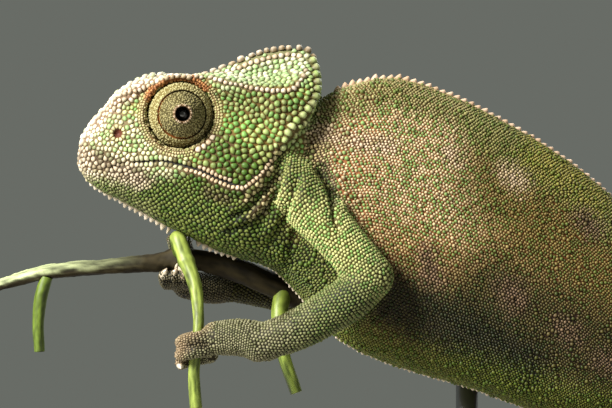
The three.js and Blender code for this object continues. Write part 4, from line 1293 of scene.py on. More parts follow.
@dataclass
class Planting:
    """Sets out the roots of all scales on the skin."""

    hide: Hide
    seed: int = 3
    row_step: float = 0.87  # between neighbouring rows, as a share of the pitch
    trunk_pitch: tuple[float, float] = (0.5, 0.08)  # at the shoulder, and how much less at the hips
    trunk_span: tuple[float, float] = (22, 50)  # the x over which it falls
    tail_pitch: tuple[float, float] = (0.56, 0.2)  # at the root, and how much less at the tip
    large: tuple[float, float] = (1.32, 1.25)  # the pitch and the weight of the trunk's large scales
    spread: int = 150000  # points thrown at random
    room: tuple[float, ...] = (0.72, 0.66, 0.8)  # least distance by rank, as a share of the pitch
    ease: tuple[float, ...] = (0.0, 0.18, 0.4)  # how readily each rank gives way
    loose: tuple[float, ...] = (0.04, 0.12, 0.1)  # how far each rank strays, as a share of the pitch
    throat_loose: float = 1.5  # how much further the throat's rows stray
    large_share: tuple[float, float] = (0.15, 0.07)  # of the trunk's scales, and how much less at the hips
    large_span: tuple[float, float] = (20, 44)  # the x over which it falls
    trunk_rise: float = 0.52  # height, as a share of the pitch
    weight_spread: tuple[float, float] = (0.86, 1.16)
    height_spread: tuple[float, float] = (0.8, 1.15)
    tail_rows: float = 0.5  # the step between the tail's rings
    found: tuple[float, float] = (0.62, 0.7)  # how far off the skin limb and trunk rows may start
    small: float = 0.95  # the weight of the trunk's other scales
    lips: tuple[float, float, float] = (0.36, -25.4, 0.5)  # bare round the mouth: distance, least x, least y
    bare: tuple[float, float] = (4.95, 0.8)  # bare within these radii of an eye and of a nostril
    touching: int = 7  # neighbours that push a scale
    apart: float = 0.98  # the distance that they push it to, as a share of the pitch
    rounds: int = 3

    def pitch_at(self, points: np.ndarray, areas: np.ndarray) -> np.ndarray:
        """Gives how far apart scales stand at each point."""
        made = np.array([BASE_PITCH[area] for area in Area])[areas]
        for grain in GRAINS:
            d, _ = nearest_on_line(points[:, SIDE_VIEW], grain.line)
            w = 1 - smoothstep(grain.width * grain.near, grain.width * grain.far, d)
            made += w * inside(areas, grain.areas) * (grain.pitch - made)
        tail = areas == Area.TAIL.value
        _, share = nearest_on_line(points[tail][:, SIDE_VIEW], [p[:3:2] for p in TAIL.line])
        root, fall = self.tail_pitch
        made[tail] = root - fall * share
        return made

    def rows(self) -> list[Roots]:
        """Sets out the head's own rows of larger scales."""
        hide = self.hide
        made = []
        for line, kind in HEAD_ROWS:
            made += [kind.roots(hide.stepped(line, kind.pitch, sign)) for sign in SIDES]
        for sign in SIDES:
            made.append(RIM_BEADS.roots(hide.stepped(RIM_LINE, RIM_STEP, sign)))
            path = spline(BROW, shares_of(BROW_COUNT)) * np.array([1, sign, 1])
            made.append(BROW_BEADS.roots(hide.drop(path)[0]))
        for sign in SIDES:
            for k, share in enumerate(JAW_SHARES):
                row = np.array(JAW_TOP) * (1 - share) + np.array(JAW_LOW) * share
                start = THROAT_STEP / 2 * (k % 2)
                made.append(THROAT_BEADS.roots(hide.stepped(row, THROAT_STEP, sign, start)))
        ridge = spline([band[0] for band in CASQUE], shares_of(RIDGE_COUNT))
        made.append(RIDGE_BEADS.roots(hide.drop(ridge)[0]))
        snout = spline([(s[0], 0, s[1]) for s in SKULL.stations[:6]], SNOUT_SHARES)
        for aside in SNOUT_ROWS:
            places = hide.drop(snout + np.array([0, aside, -SNOUT_SLOPE * abs(aside)]))[0]
            made.append(SNOUT_BEADS.roots(places))
        for reach, pitch in LID_RINGS:
            turn = turns(int(2 * math.pi * reach / pitch))
            places = np.stack([EYE.x + reach * np.cos(turn), EYE.z + reach * np.sin(turn)], 1)
            lid = Kind(pitch, -1, 1.0, LID_RISE)
            made += [lid.roots(hide.from_side(places, sign)) for sign in SIDES]
        return made

    def _limb_rows(self, limb: Limb, area: Area, pitch: float) -> Roots:
        """Sets out rings of scales along a limb."""
        fine = shares_of(400)
        run = run_along(spline(limb.line, fine)[:, :3])
        steps = np.arange(0, run[-1], pitch * self.row_step)
        shares = np.interp(steps / run[-1], run / run[-1], fine)
        centre, radius, normal, across = limb.frames(shares)
        made = []
        for i in range(len(shares)):
            count = max(int(2 * math.pi * radius[i] / pitch), 4)
            turn = (np.arange(count) + (i % 2) / 2) * 2 * math.pi / count
            arm = normal[i] * np.cos(turn)[:, None] + across[i] * np.sin(turn)[:, None]
            made.append(centre[i] + arm * radius[i])
        return self._settled(np.concatenate(made), area, pitch, self.found[0])

    def _trunk_pitch(self, x: np.ndarray) -> np.ndarray:
        """Gives how far apart the trunk's scales stand along it."""
        front, fall = self.trunk_pitch
        return front - fall * smoothstep(*self.trunk_span, x)

    def _trunk_rows(self) -> Roots:
        """Sets out rows of scales that run along the trunk, down each side from the back."""
        fine = shares_of(400)
        top = spline(TRUNK.stations, fine)[:, :2]
        pitch = self._trunk_pitch(top[:, 0])
        steps = np.concatenate([[0], np.cumsum(np.diff(run_along(top)) / (pitch[1:] / 2))])
        shares = np.interp(np.arange(0, steps[-1]), steps, fine)
        pitches = np.interp(shares, fine, pitch)
        made = []
        for i, (half, step) in enumerate(zip(TRUNK.rings(shares, np.linspace(0, math.pi, 240)), pitches)):
            down = run_along(half)
            count = int(down[-1] / (step * self.row_step))
            place = at_runs(np.arange(i % 2, count, 2) * step * self.row_step, down, half)
            made += [place, place * MIRROR]
        roots = self._settled(np.concatenate(made), Area.TRUNK, self.trunk_pitch[0], self.found[1])
        rng = np.random.default_rng(self.seed + 2)
        x = roots.points[:, 0]
        share, fall = self.large_share
        large = rng.random(len(roots)) < share - fall * smoothstep(*self.large_span, x)
        pitch, weight = self.large
        roots.pitch = np.where(large, pitch, 1.0) * self._trunk_pitch(x)
        roots.height = roots.pitch * self.trunk_rise
        roots.weight = np.where(large, weight, self.small)
        return roots.keep(np.argsort(~large, kind="stable"))

    def _settled(self, points: np.ndarray, area: Area, pitch: float, near: float) -> Roots:
        """Drops points on to the skin and keeps those that were close to it."""
        places, _, _, moved = self.hide.drop(points)
        return Roots.of(places[moved < near], pitch, area.value, 1)

    def _scatter(self) -> Roots:
        """Throws points at random over the whole skin, as many as may be needed."""
        rng = np.random.default_rng(self.seed)
        hide = self.hide
        pick = rng.choice(len(hide.faces), self.spread, p=hide.face_sizes / hide.face_sizes.sum())
        a, b, c, d = hide.vertices[hide.faces[pick]].transpose(1, 0, 2)
        w = rng.random((len(pick), 2))
        points = blend(blend(a, b, w[:, :1]), blend(d, c, w[:, :1]), w[:, 1:])
        areas = hide.face_areas[pick]
        return Roots.of(points, self.pitch_at(points, areas), areas, 2)

    def _cleared(self, roots: Roots) -> Roots:
        """Takes scales off the line of the mouth, the nostrils and the sockets' floors."""
        points, out = roots.points, np.abs(roots.points[:, 1])
        lip, _ = nearest_on_line(points[:, SIDE_VIEW], MOUTH)
        close, front, beside = self.lips
        gape = (lip < close) & (points[:, 0] > front) & (out > beside)
        socket = (EYE.reach(points) < self.bare[0]) & (out > EYE.beside)
        bare = (roots.areas == Area.HEAD.value) & (gape | (NOSTRIL.reach(points) < self.bare[1]) | socket)
        return roots.keep(~bare)

    def thin(self, roots: Roots) -> Roots:
        """Drops each scale that stands too near one of a better rank."""
        tree = search_tree(roots.points)
        alive = np.ones(len(roots), bool)
        reach = (roots.pitch * np.array(self.room)[roots.rank]).tolist()
        for i, p in enumerate(roots.points.tolist()):
            if alive[i]:
                for _, j, _ in tree.find_range(p, reach[i]):
                    if j > i:
                        alive[j] = False
        return roots.keep(alive)

    def relax(self, roots: Roots) -> Roots:
        """Spreads the scales evenly."""
        ease = np.array(self.ease)[roots.rank][:, None]
        for _ in range(self.rounds):
            near, gap = neighbours(roots.points, self.touching)
            offset = roots.points[:, None] - roots.points[near]
            want = (roots.pitch[:, None] + roots.pitch[near]) / 2 * self.apart
            push = offset / np.maximum(gap, 1e-6)[..., None] * np.maximum(want - gap, 0)[..., None]
            roots.points = self.hide.drop(roots.points + push.sum(1) * ease)[0]
        return roots

    def build(self) -> Roots:
        """Sets out every root."""
        made = self.rows()
        made.append(self._trunk_rows())
        limbs = [(limb, Area.ARM) for limb in ARMS.values()] + [(limb, Area.LEG) for limb in LEGS.values()]
        made += [self._limb_rows(limb, area, BASE_PITCH[area]) for limb, area in limbs]
        made.append(self._limb_rows(TAIL, Area.TAIL, self.tail_rows))
        toes = [limb for paw in PAWS.values() for limb in paw.limbs()]
        made += [self._limb_rows(limb, Area.PAW, BASE_PITCH[Area.PAW]) for limb in toes]
        made.append(self._scatter())
        roots = self.thin(self._cleared(Roots.joined(made)))
        rng = np.random.default_rng(self.seed + 1)
        loose = np.array(self.loose)[roots.rank] * roots.pitch
        loose[(roots.rank == 1) & (roots.areas == Area.HEAD.value)] *= self.throat_loose
        roots.points = roots.points + rng.normal(0, 1, (len(roots), 3)) * loose[:, None]
        roots = self.relax(roots)
        roots.weight = roots.weight * rng.uniform(*self.weight_spread, len(roots))
        roots.height = roots.height * rng.uniform(*self.height_spread, len(roots)) * roots.weight
        return roots


@dataclass
class Scales:
    """Builds joined meshes of scales from their roots."""

    hide: Hide
    roots: Roots
    gap: float = 0.96  # of the room between neighbours that a scale fills
    widest: float = 0.8  # its greatest reach, as a share of its weight and pitch
    even: float = 0.12  # how far the outline is drawn towards a circle
    beside: float = 0.08  # the least share of a neighbour's direction that bounds a corner
    middle: float = 0.2  # half the width of the strip along the middle where normals are levelled
    around: int = 11  # neighbours that shape a scale
    facing: float = 0.1  # the least agreement between its normal and theirs
    shade: tuple[float, float] = (0.72, 1.12)  # spread of the set rows' crowns
    normals: np.ndarray = field(init=False)
    faces: np.ndarray = field(init=False)
    near: np.ndarray = field(init=False)
    crown: np.ndarray = field(init=False)
    base: np.ndarray = field(init=False)

    def outlines(self, sides: int, chosen: np.ndarray) -> tuple[np.ndarray, ...]:
        """Works out each chosen scale's outline from the room its neighbours leave it.

        Args:
            sides: The outline's number of corners.
            chosen: Indices of the scales.

        Returns:
            The scales' normals, and each corner's offset from the root.
        """
        points, near, normal = self.roots.points, self.near[chosen], self.normals[chosen]
        offset = points[near] - points[chosen][:, None]
        u = unit(offset[:, 0] - normal * (offset[:, 0] * normal).sum(1, keepdims=True))
        v = np.cross(normal, u)
        a, b = (offset * u[:, None]).sum(2), (offset * v[:, None]).sum(2)
        flat = np.maximum(np.hypot(a, b), 1e-6)
        size = self.roots.weight * self.roots.pitch
        own, others = size[chosen][:, None], size[near]
        facing = (self.normals[near] * normal[:, None]).sum(2) > self.facing
        turn = (np.arange(sides) + 0.5) * 2 * math.pi / sides
        reach = np.full((len(chosen), sides), np.inf)
        for k, angle in enumerate(turn):
            toward = (a * math.cos(angle) + b * math.sin(angle)) / flat
            limit = own / (own + others) * flat / np.maximum(toward, self.beside)
            reach[:, k] = np.where((toward > self.beside) & facing, limit, np.inf).min(1)
        reach = np.minimum(reach, own * self.widest) * self.gap
        reach = reach * (1 - self.even) + reach.mean(1, keepdims=True) * self.even
        return normal, fan(u, v, turn) * reach[..., None]

    def prepare(self) -> None:
        """Works out what all pieces share."""
        roots = self.roots
        _, self.normals, self.faces, _ = self.hide.drop(roots.points)
        middle = np.abs(roots.points[:, 1]) < self.middle
        self.normals[middle] = unit(self.normals[middle] * LEVEL)
        self.near, _ = neighbours(roots.points, self.around)
        self.crown, self.base = Pigment().scale_colours(roots.points, roots.areas, roots.weight)
        for i, hue in enumerate(ROW_HUES):
            rows = roots.hue == i
            chance = np.random.default_rng(i).random((rows.sum(), 1))
            shade = np.random.default_rng(i + 9).uniform(*self.shade, (rows.sum(), 1))
            self.crown[rows] = blend(linear(hue.crown), linear(hue.accent), chance) * shade
            self.base[rows] = linear(hue.base)

    def piece(self, name: str, chosen: np.ndarray, shape: Shape) -> bpy.types.Object:
        """Joins the chosen scales into one mesh.

        Args:
            name: The object's name.
            chosen: Indices of the scales.
            shape: The outline that they share.

        Returns:
            The new object.
        """
        rings, sides = shape.value
        normal, corners = self.outlines(sides, chosen)
        root, top = self.roots.points[chosen], normal * self.roots.height[chosen][:, None]
        layers = [root[:, None] + corners * reach + (top * rise)[:, None] for reach, rise, _ in rings]
        points = np.concatenate([*layers, (root + top)[:, None]], 1)
        level = np.concatenate([np.full(sides, tone) for _, _, tone in rings] + [np.ones(1)])
        tone = blend(self.base[chosen][:, None], self.crown[chosen][:, None], level[None, :, None])
        uv = self.hide.uv_at(root, self.faces[chosen])[:, None] + self._patch(points, root, corners)
        return joined(name, Bead(sides, len(rings)), points, tone, uv)

    def _patch(self, points: np.ndarray, root: np.ndarray, corners: np.ndarray) -> np.ndarray:
        """Gives the scales' vertices their places in a small patch of the map."""
        u = unit(corners[:, 0])
        v = unit(corners[:, 2] - u * (corners[:, 2] * u).sum(1, keepdims=True))
        arm = points - root[:, None]
        flat = np.stack([(arm * u[:, None]).sum(2), (arm * v[:, None]).sum(2)], 2)
        return flat / np.abs(flat).max((1, 2), keepdims=True) * PATCH


@dataclass(frozen=True)
class Crest:
    """A row of soft cones along the middle of the back, the throat or the belly."""

    name: str
    line: Rows  # x and z
    up: int  # 1 for a row on top and -1 for one below
    pitches: Sequence[float]  # steps between cones along the line
    heights: Sequence[float]
    lean: float  # how far the tips lean towards the tail, as a share of the height
    hue: Hue
    seed: int = 11
    sides: int = 10
    thickness: float = 0.62  # half a cone's length along the row, as a share of the step
    narrow: float = 0.72  # its breadth, as a share of its length
    spread: tuple[float, float] = (0.82, 1.15)  # of heights
    above: float = 6.0  # how far over the line the search for the skin starts
    upright: float = 0.2  # how much of the skin's slope to the side a cone keeps
    curl: float = 1.5  # how late a cone starts to lean
    rings: Rows = ((1.0, -0.25, 0.0), (0.92, 0.2, 0.4), (0.6, 0.58, 0.85), (0.26, 0.88, 1.0))

    def _midline(self, hide: Hide) -> tuple[np.ndarray, np.ndarray]:
        """Steps along the line in the middle plane and drops each step on to the skin."""
        path = spline(self.line, shares_of(600))
        run = run_along(path)
        at, places, shares = 0.0, [], []
        while at < run[-1]:
            share = at / run[-1]
            x, z = at_runs(at, run, path)
            hit = hide.tree.ray_cast(Vector((x, 0, z + self.up * self.above)), Vector((0, 0, -self.up)))[0]
            if hit is not None:
                places.append(hit)
                shares.append(share)
            at += np.interp(share, shares_of(len(self.pitches)), self.pitches)
        return np.array(places), np.array(shares)

    def build(self, hide: Hide) -> bpy.types.Object:
        """Makes the row of cones."""
        rng = np.random.default_rng(self.seed)
        places, shares = self._midline(hide)
        _, normal, faces, _ = hide.drop(places)
        normal = unit(normal * np.array([1, self.upright, 1]))
        along = unit(np.gradient(places, axis=0))
        steps = shares_of(len(self.pitches))
        radius = np.interp(shares, steps, self.pitches) * self.thickness
        height = np.interp(shares, steps, self.heights) * rng.uniform(*self.spread, len(places))
        arm = fan(along, np.cross(normal, along) * self.narrow, turns(self.sides))
        layers = [
            places[:, None] + arm * (radius * reach)[:, None, None] + self._rise(normal, along, height, rise)
            for reach, rise, _ in self.rings
        ]
        points = np.concatenate([*layers, places[:, None] + self._rise(normal, along, height, 1.0)], 1)
        level = np.array(np.repeat([tone for _, _, tone in self.rings], self.sides).tolist() + [1.0])
        crown = blend(linear(self.hue.crown), linear(self.hue.accent), rng.random((len(places), 1)))
        tone = blend(linear(self.hue.base), crown[:, None], level[None, :, None])
        uv = hide.uv_at(places, faces)[:, None] + (points - places[:, None])[..., :2] * PATCH
        return joined(self.name, Bead(self.sides, len(self.rings)), points, tone, uv)

    def _rise(self, normal: np.ndarray, along: np.ndarray, height: np.ndarray, rise: float) -> np.ndarray:
        """Gives how far a ring of each cone stands out and leans."""
        lean = along * (height * max(rise, 0) ** self.curl * self.lean)[:, None]
        return (normal * (height * rise)[:, None] + lean)[:, None]


@dataclass
class Turret:
    """One eye: a dome of fused lids in rings of fine granules, with a small round opening."""

    sign: int  # -1 for the left side
    segments: int = 96
    fine: float = 0.36  # between granules
    fine_step: float = 0.92  # between their rings, as a share of that
    corners: int = 6  # of a granule
    groove: float = 3.4  # radius of the groove between the lid's two parts
    groove_width: float = 0.12
    step: float = 4.14  # radius of the other bare ring
    opening: float = 1.16  # radius that the granules end at
    foot: float = 0.3  # height that they begin at
    slip: float = 0.24  # how far granules stray round their ring, as a share of their step
    stray: tuple[float, float] = (0.08, 1.3)  # how far they stray from it, in mm, and from which radius on
    across: tuple[float, float, float] = (0.5, 0.7, 1.2)  # half a granule's width as a share, and its spread
    tall: tuple[float, float, float] = (0.36, 0.6, 1.3)  # its height as a share, and its spread
    waist: tuple[float, float] = (0.8, 0.6)  # width and height of its middle ring, as shares
    sunk: float = 0.04
    probe: float = 0.01  # the step that its directions are measured by
    blends: Rows = ((3.48, 3.3), (1.5, 1.25))  # radii between which the inner and the edge colours set in
    lit: tuple[float, float, float] = (-0.2, 0.7, 0.5)  # from and to, and the turn, of the groove's lit side; elsewhere the groove takes painted shade
    dark: tuple[float, float] = (1.06, 0.35)  # painted shade: the dome is dark within this radius, inside the opening, and below this height, down in the socket
    width: float = 12.0  # of the dome on the map
    ball: float = 0.94
    ball_height: float = 4.9
    ball_parts: tuple[int, int, float] = (24, 32, 0.02)  # rings, points round each and the first one's lean
    # painted shade inside the opening and round the dome's foot in the socket
    deep: Colour = (22, 15, 9)
    crease: tuple[Colour, Colour] = ((24, 18, 10), (176, 112, 58))  # the groove's painted shade away from the light, and its own colour on the lit side
    profile: Rows = (
        (4.4, -0.4), (4.64, -0.2), (4.64, 0.5), (4.57, 1.1), (4.36, 1.9), (3.98, 2.72), (3.7, 3.16),
        (3.55, 3.3), (3.46, 3.14), (3.4, 2.92), (3.33, 3.16), (3.24, 3.5), (2.94, 4.1), (2.46, 4.8),
        (2.0, 5.4), (1.62, 5.88), (1.38, 6.2), (1.22, 6.36), (1.1, 6.38), (1.02, 6.26), (0.99, 5.9),
        (0.97, 5.2),
    )
    outer: Hue = Hue((190, 184, 134), (154, 150, 98), (110, 98, 56))
    inner: Hue = Hue((154, 146, 98), (106, 100, 60), (70, 62, 32))
    edge: Hue = Hue((204, 184, 156), (164, 140, 112), (96, 72, 46))

    def place(self, r: np.ndarray, turn: np.ndarray, h: np.ndarray) -> np.ndarray:
        """Puts points given by reach, turn and height about the turret's axis into the animal's frame."""
        back = math.radians(EYE.back)
        axis = np.array([math.sin(back), self.sign * math.cos(back), 0])
        across = np.array([math.cos(back), -self.sign * math.sin(back), 0])
        centre = np.array([EYE.x, self.sign * EYE.base, EYE.z])
        flat = across * (r * np.cos(turn))[..., None] + UP * (r * np.sin(turn))[..., None]
        return centre + flat + axis * np.broadcast_to(h, np.broadcast(r, turn).shape)[..., None]

    def build(self) -> list[bpy.types.Object]:
        """Makes the dome, its granules and the eye inside."""
        side = "left" if self.sign < 0 else "right"
        makers = {"dome": self._dome, "granules": self._granules, "ball": self._ball}
        return [maker(f"eye_{part}_{side}") for part, maker in makers.items()]

    def _dome(self, name: str) -> bpy.types.Object:
        """Makes the dome that the granules stand on."""
        line = spline(self.profile, shares_of(150))
        turn = turns(self.segments)
        rings = self.place(line[:, :1], turn[None], line[:, 1:])
        if self.sign > 0:
            rings, turn = rings[:, ::-1], turn[::-1]
        vertices, faces = sheath(rings)
        tone = np.zeros((*rings.shape[:2], 3)) + self._hue(line[:, 0])[:, None, Hue.BASE]
        groove = np.exp(-(((line[:, 0] - self.groove) / self.groove_width) ** 2))[:, None, None]
        start, end, tilt = self.lit
        # painted light and shade: the groove keeps its colour on the lit side and is painted dark on the
        # other
        front = smoothstep(start, end, -np.cos(turn - tilt))[None, :, None]
        crease = blend(*map(linear, self.crease), front)
        tone = blend(tone, crease, groove)
        # painted shade inside the opening and down in the socket
        deep = ((line[:, 0] < self.dark[0]) | (line[:, 1] < self.dark[1]))[:, None, None]
        return tinted(name, vertices, faces, np.where(deep, linear(self.deep), tone).reshape(-1, 3))

    def _hue(self, r: np.ndarray) -> np.ndarray:
        """Gives the rows of colours at each reach from the axis."""
        rows = self.outer.table()
        for hue, span in zip((self.inner, self.edge), self.blends):
            rows = blend(rows, hue.table(), smoothstep(*span, r)[:, None])
        return rows

    def _rings(self, rng: np.random.Generator) -> tuple[np.ndarray, ...]:
        """Sets out the granules: reach, turn, height, and the profile's slope as two numbers."""
        line = spline(self.profile, shares_of(900))
        run = run_along(line)
        slope = unit(np.gradient(line, axis=0))
        rows = []
        for at in np.arange(0, run[-1], self.fine * self.fine_step):
            r, h = at_runs(at, run, line)
            bare = min(abs(r - self.groove), abs(r - self.step)) < self.groove_width
            if h < self.foot or r < self.opening or bare:
                continue
            count = int(2 * math.pi * r / self.fine)
            turn = (np.arange(count) + rng.random() + rng.normal(0, self.slip, count)) * 2 * math.pi / count
            down_r, down_h = at_runs(at, run, slope)
            astray = rng.normal(0, self.stray[0], count) * (r > self.stray[1])
            slopes = np.full(count, down_r), np.full(count, down_h)
            rows.append(np.stack([r + down_r * astray, turn, h + down_h * astray, *slopes]))
        return tuple(np.concatenate(rows, 1))

    def _granules(self, name: str) -> bpy.types.Object:
        """Makes the rings of granules."""
        rng = np.random.default_rng(5 + self.sign)
        r, turn, h, down_r, down_h = self._rings(rng)
        root = self.place(r, turn, h)
        step = self.probe
        round_it = unit(self.place(r, turn + step, h) - root)
        along = unit(self.place(r + down_r * step, turn, h + down_h * step) - root)
        normal = unit(np.cross(round_it, along))
        out = root - self.place(np.zeros(1), np.zeros(1), np.zeros(1))
        normal = normal * np.sign((normal * out).sum(1, keepdims=True))
        corner = turns(self.corners)
        size, tall = (
            (self.fine * share * rng.uniform(low, high, len(r)))[:, None, None]
            for share, low, high in (self.across, self.tall)
        )
        arm = fan(round_it, along, corner) * size
        root, normal = root[:, None], normal[:, None]
        slim, high = self.waist
        foot, top = root + arm - normal * self.sunk, root + normal * tall
        layers = (foot, root + arm * slim + normal * tall * high, top)
        hue = self._hue(r)
        crown = blend(hue[:, Hue.CROWN], hue[:, Hue.ACCENT], rng.random((len(r), 1)) ** 2)
        level = np.array([0.0] * self.corners + [high] * self.corners + [1.0])[None, :, None]
        tone = blend(hue[:, None, Hue.BASE], crown[:, None], level)
        flat = 0.5 + np.stack([r * np.cos(turn), r * np.sin(turn)], 1)[:, None] / self.width
        patch = np.concatenate([np.stack([np.cos(corner), np.sin(corner)], 1)] * 2 + [np.zeros((1, 2))])[None]
        return joined(name, Bead(self.corners, 2), np.concatenate(layers, 1), tone, flat + patch * PATCH * 2)

    def _ball(self, name: str) -> bpy.types.Object:
        """Makes the dark ball behind the opening."""
        count, facets, first = self.ball_parts
        lean = np.linspace(first, math.pi - first, count)
        height = self.ball_height - self.ball * np.cos(lean)
        rings = self.place((self.ball * np.sin(lean))[:, None], turns(facets)[None], height[:, None])
        return new_mesh(name, *sheath(rings if self.sign < 0 else rings[:, ::-1]))


@dataclass
class Claws:
    """The claws: one at the end of each toe, curling on the way the toe goes."""

    length: float = 1.15
    thickness: float = 0.56  # at the root, as a share of the toe's
    tip: float = 0.06
    taper: float = 0.8
    closing: float = 0.5  # how far they drift along the stem
    steps: int = 14
    facets: int = 16

    def build(self, name: str, paw: Paw) -> bpy.types.Object:
        """Makes the claws of one hand or foot as one mesh."""
        parts = []
        for bundle in paw.bundles:
            turn = math.degrees(self.length / (paw.radius + paw.size + CLEAR))
            end = bundle.end + turn * math.copysign(1, bundle.end - bundle.start)
            shift = bundle.shift + bundle.drift
            beyond = Bundle(bundle.count, bundle.end, end, shift, self.closing, bundle.spread)
            for aside in paw.places(bundle):
                line = np.array(paw.curl(beyond, aside))
                line[:, 3] = paw.size * (self.thickness * (1 - shares_of(len(line))) ** self.taper + self.tip)
                parts.append(Limb(line.tolist()).rings(self.steps, self.facets))
        return new_mesh(name, *gathered(parts))


@dataclass(frozen=True)
class Stem:
    """A stem of the perch with bark on it."""

    name: str
    line: Rows
    steps: int
    # the top and the underside are lit and shaded copies of the stem's colour: painted light and shade
    top: Colour
    under: Colour
    end: Colour  # the top's colour at the far end: darker wood, partly painted shadow
    rough: float = 0.05  # how deep the bark's furrows are, in mm
    joints: tuple[float, ...] = ()  # places along it that swell
    swell: float = 0.25
    blotch: float = 0.5  # how far its colour varies
    facets: int = 28
    furrows: Rows = ((0.35, 2.6, 1.0), (1.3, 6.0, 0.5))  # noise scales along and around, and its share
    crest: float = 0.4  # the bark's highest point, as a share of the furrows' depth
    joint_width: float = 0.02
    mottle: tuple[float, float, int] = (0.7, 0.3, 3)  # how the underside's painted shade varies round the stem: its level, swing and waves
    darkest: float = 0.004
    change: tuple[float, float] = (0.03, 0.16)  # the shares over which the top takes the end's colour
    shadow: tuple[float, float] = (-0.5, 0.6)  # the heights over which the underside's painted shade turns into the lit top

    def _bumps(self, run: np.ndarray) -> np.ndarray:
        """Gives the bark's furrows, long and short, by place along the stem and round it."""
        turn = turns(self.facets)
        ring = list(zip(np.cos(turn), np.sin(turn)))
        total = np.zeros((len(run), self.facets))
        for along, around, share in self.furrows:
            total += share * np.array([
                [noise.noise((at * along, c * around, s * around)) for c, s in ring] for at in run
            ])
        return total

    def build(self) -> bpy.types.Object:
        """Makes the stem."""
        rings = Limb(self.line).rings(self.steps, self.facets, 0.0, False)
        centre = rings.mean(1, keepdims=True)
        arm = rings - centre
        share = shares_of(len(rings))[:, None]
        bump = self._bumps(run_along(centre[:, 0]))
        radius = np.linalg.norm(arm, axis=2)
        crest = self.rough * self.crest
        rise = np.minimum(bump * self.rough, crest) - crest
        for joint in self.joints:
            rise = rise + self.swell * np.exp(-(((share - joint) / self.joint_width) ** 2))
        rings = centre + arm * ((radius + rise) / radius)[..., None]
        # painted light and shade: surfaces facing up take the lit top, those facing down the shaded underside
        lit = smoothstep(*self.shadow, arm[..., 2] / radius + 0.4 * bump)[..., None]
        top = blend(linear(self.top), linear(self.end), smoothstep(*self.change, share)[..., None])
        level, swing, waves = self.mottle
        under = linear(self.under) * (level + swing * np.cos(turns(self.facets)[None] * waves))[..., None]
        tone = blend(under, top, lit) * (1 + self.blotch * np.clip(bump, -1, 1))[..., None]
        vertices, faces = sheath(rings)
        return tinted(self.name, vertices, faces, np.clip(tone, self.darkest, 1).reshape(-1, 3))


# the green stems' lit top and their painted shade underneath
GREEN_LIT_TOP, GREEN_SHADED_UNDER = (138, 154, 70), (70, 88, 24)
STEMS = (
    # the branch: pale lit top, painted shade underneath, and a darker far end, partly painted shadow
    Stem("branch", BRANCH, 420, (168, 178, 134), (46, 40, 22), (42, 36, 20), 0.24, (0.24,), 0.35, 0.8),
    Stem("stalk", STALK, 160, GREEN_LIT_TOP, GREEN_SHADED_UNDER, GREEN_LIT_TOP, joints=(0.3, 0.74), swell=0.14),
    Stem("twig_front", TWIG_FRONT, 60, (100, 120, 42), GREEN_SHADED_UNDER, (92, 112, 36)),
    Stem("twig_rear", TWIG_REAR, 60, (120, 138, 52), GREEN_SHADED_UNDER, (128, 146, 60), joints=(0.5,), swell=0.12),
)


@dataclass
class Stand:
    """The plain display stand: a wooden base and two steel rods."""

    corner: float = 12.0
    chamfer: float = 1.2
    rounds: int = 20  # points round each corner
    first: float = 0.2  # how far round the top edge its first ring lies, in radians
    edge_rings: int = 8
    rod_facets: int = 48
    rod_chamfer: float = 0.3

    def _reach(self, node: str) -> tuple[np.ndarray, np.ndarray]:
        """Gives a solid's box in the animal's own frame."""
        low, high = (np.array(c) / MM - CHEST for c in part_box(node))
        return low, high

    def _slab(self, node: str) -> bpy.types.Object:
        """Makes the base, with rounded corners and a rounded top edge."""
        low, high = self._reach(node)
        half, middle = (high - low)[:2] / 2, (high + low) / 2
        shoulder = high[2] - self.chamfer
        edge = [(0.0, low[2]), (0.0, shoulder)] + [
            (self.chamfer * (1 - math.cos(a)), shoulder + self.chamfer * math.sin(a))
            for a in np.linspace(self.first, math.pi / 2, self.edge_rings)
        ]
        rings = []
        for inset, z in edge:
            radius, rim = self.corner - inset, []
            for quarter, (sx, sy) in enumerate(((1, 1), (-1, 1), (-1, -1), (1, -1))):
                for a in np.linspace(0, math.pi / 2, self.rounds) + quarter * math.pi / 2:
                    x = sx * (half[0] - self.corner) + radius * math.cos(a)
                    y = sy * (half[1] - self.corner) + radius * math.sin(a)
                    rim.append((middle[0] + x, middle[1] + y, z))
            rings.append(rim)
        return new_mesh("base", *sheath(np.array(rings)), smooth=False)

    def _rod(self, node: str) -> bpy.types.Object:
        """Makes one rod in the place of its solid."""
        low, high = self._reach(node)
        middle, radius = (high + low) / 2, (high - low)[0] / 2
        turn = turns(self.rod_facets)
        outline = (
            (radius, low[2]), (radius, high[2] - self.rod_chamfer), (radius - self.rod_chamfer, high[2]),
        )
        rings = [
            np.stack([middle[0] + r * np.cos(turn), middle[1] + r * np.sin(turn), np.full(len(turn), z)], 1)
            for r, z in outline
        ]
        made = new_mesh(node.replace("stand_", ""), *sheath(np.array(rings)))
        for face in made.data.polygons:
            face.use_smooth = len(face.vertices) == 4
        return made

    def build(self) -> dict[str, bpy.types.Object]:
        """Makes the base and the rods, by the solid that each stands for."""
        makers = {"stand_base": self._slab, "stand_rod_front": self._rod, "stand_rod_rear": self._rod}
        return {node: maker(node) for node, maker in makers.items()}


# ---------------------------------------------------------------- finishes


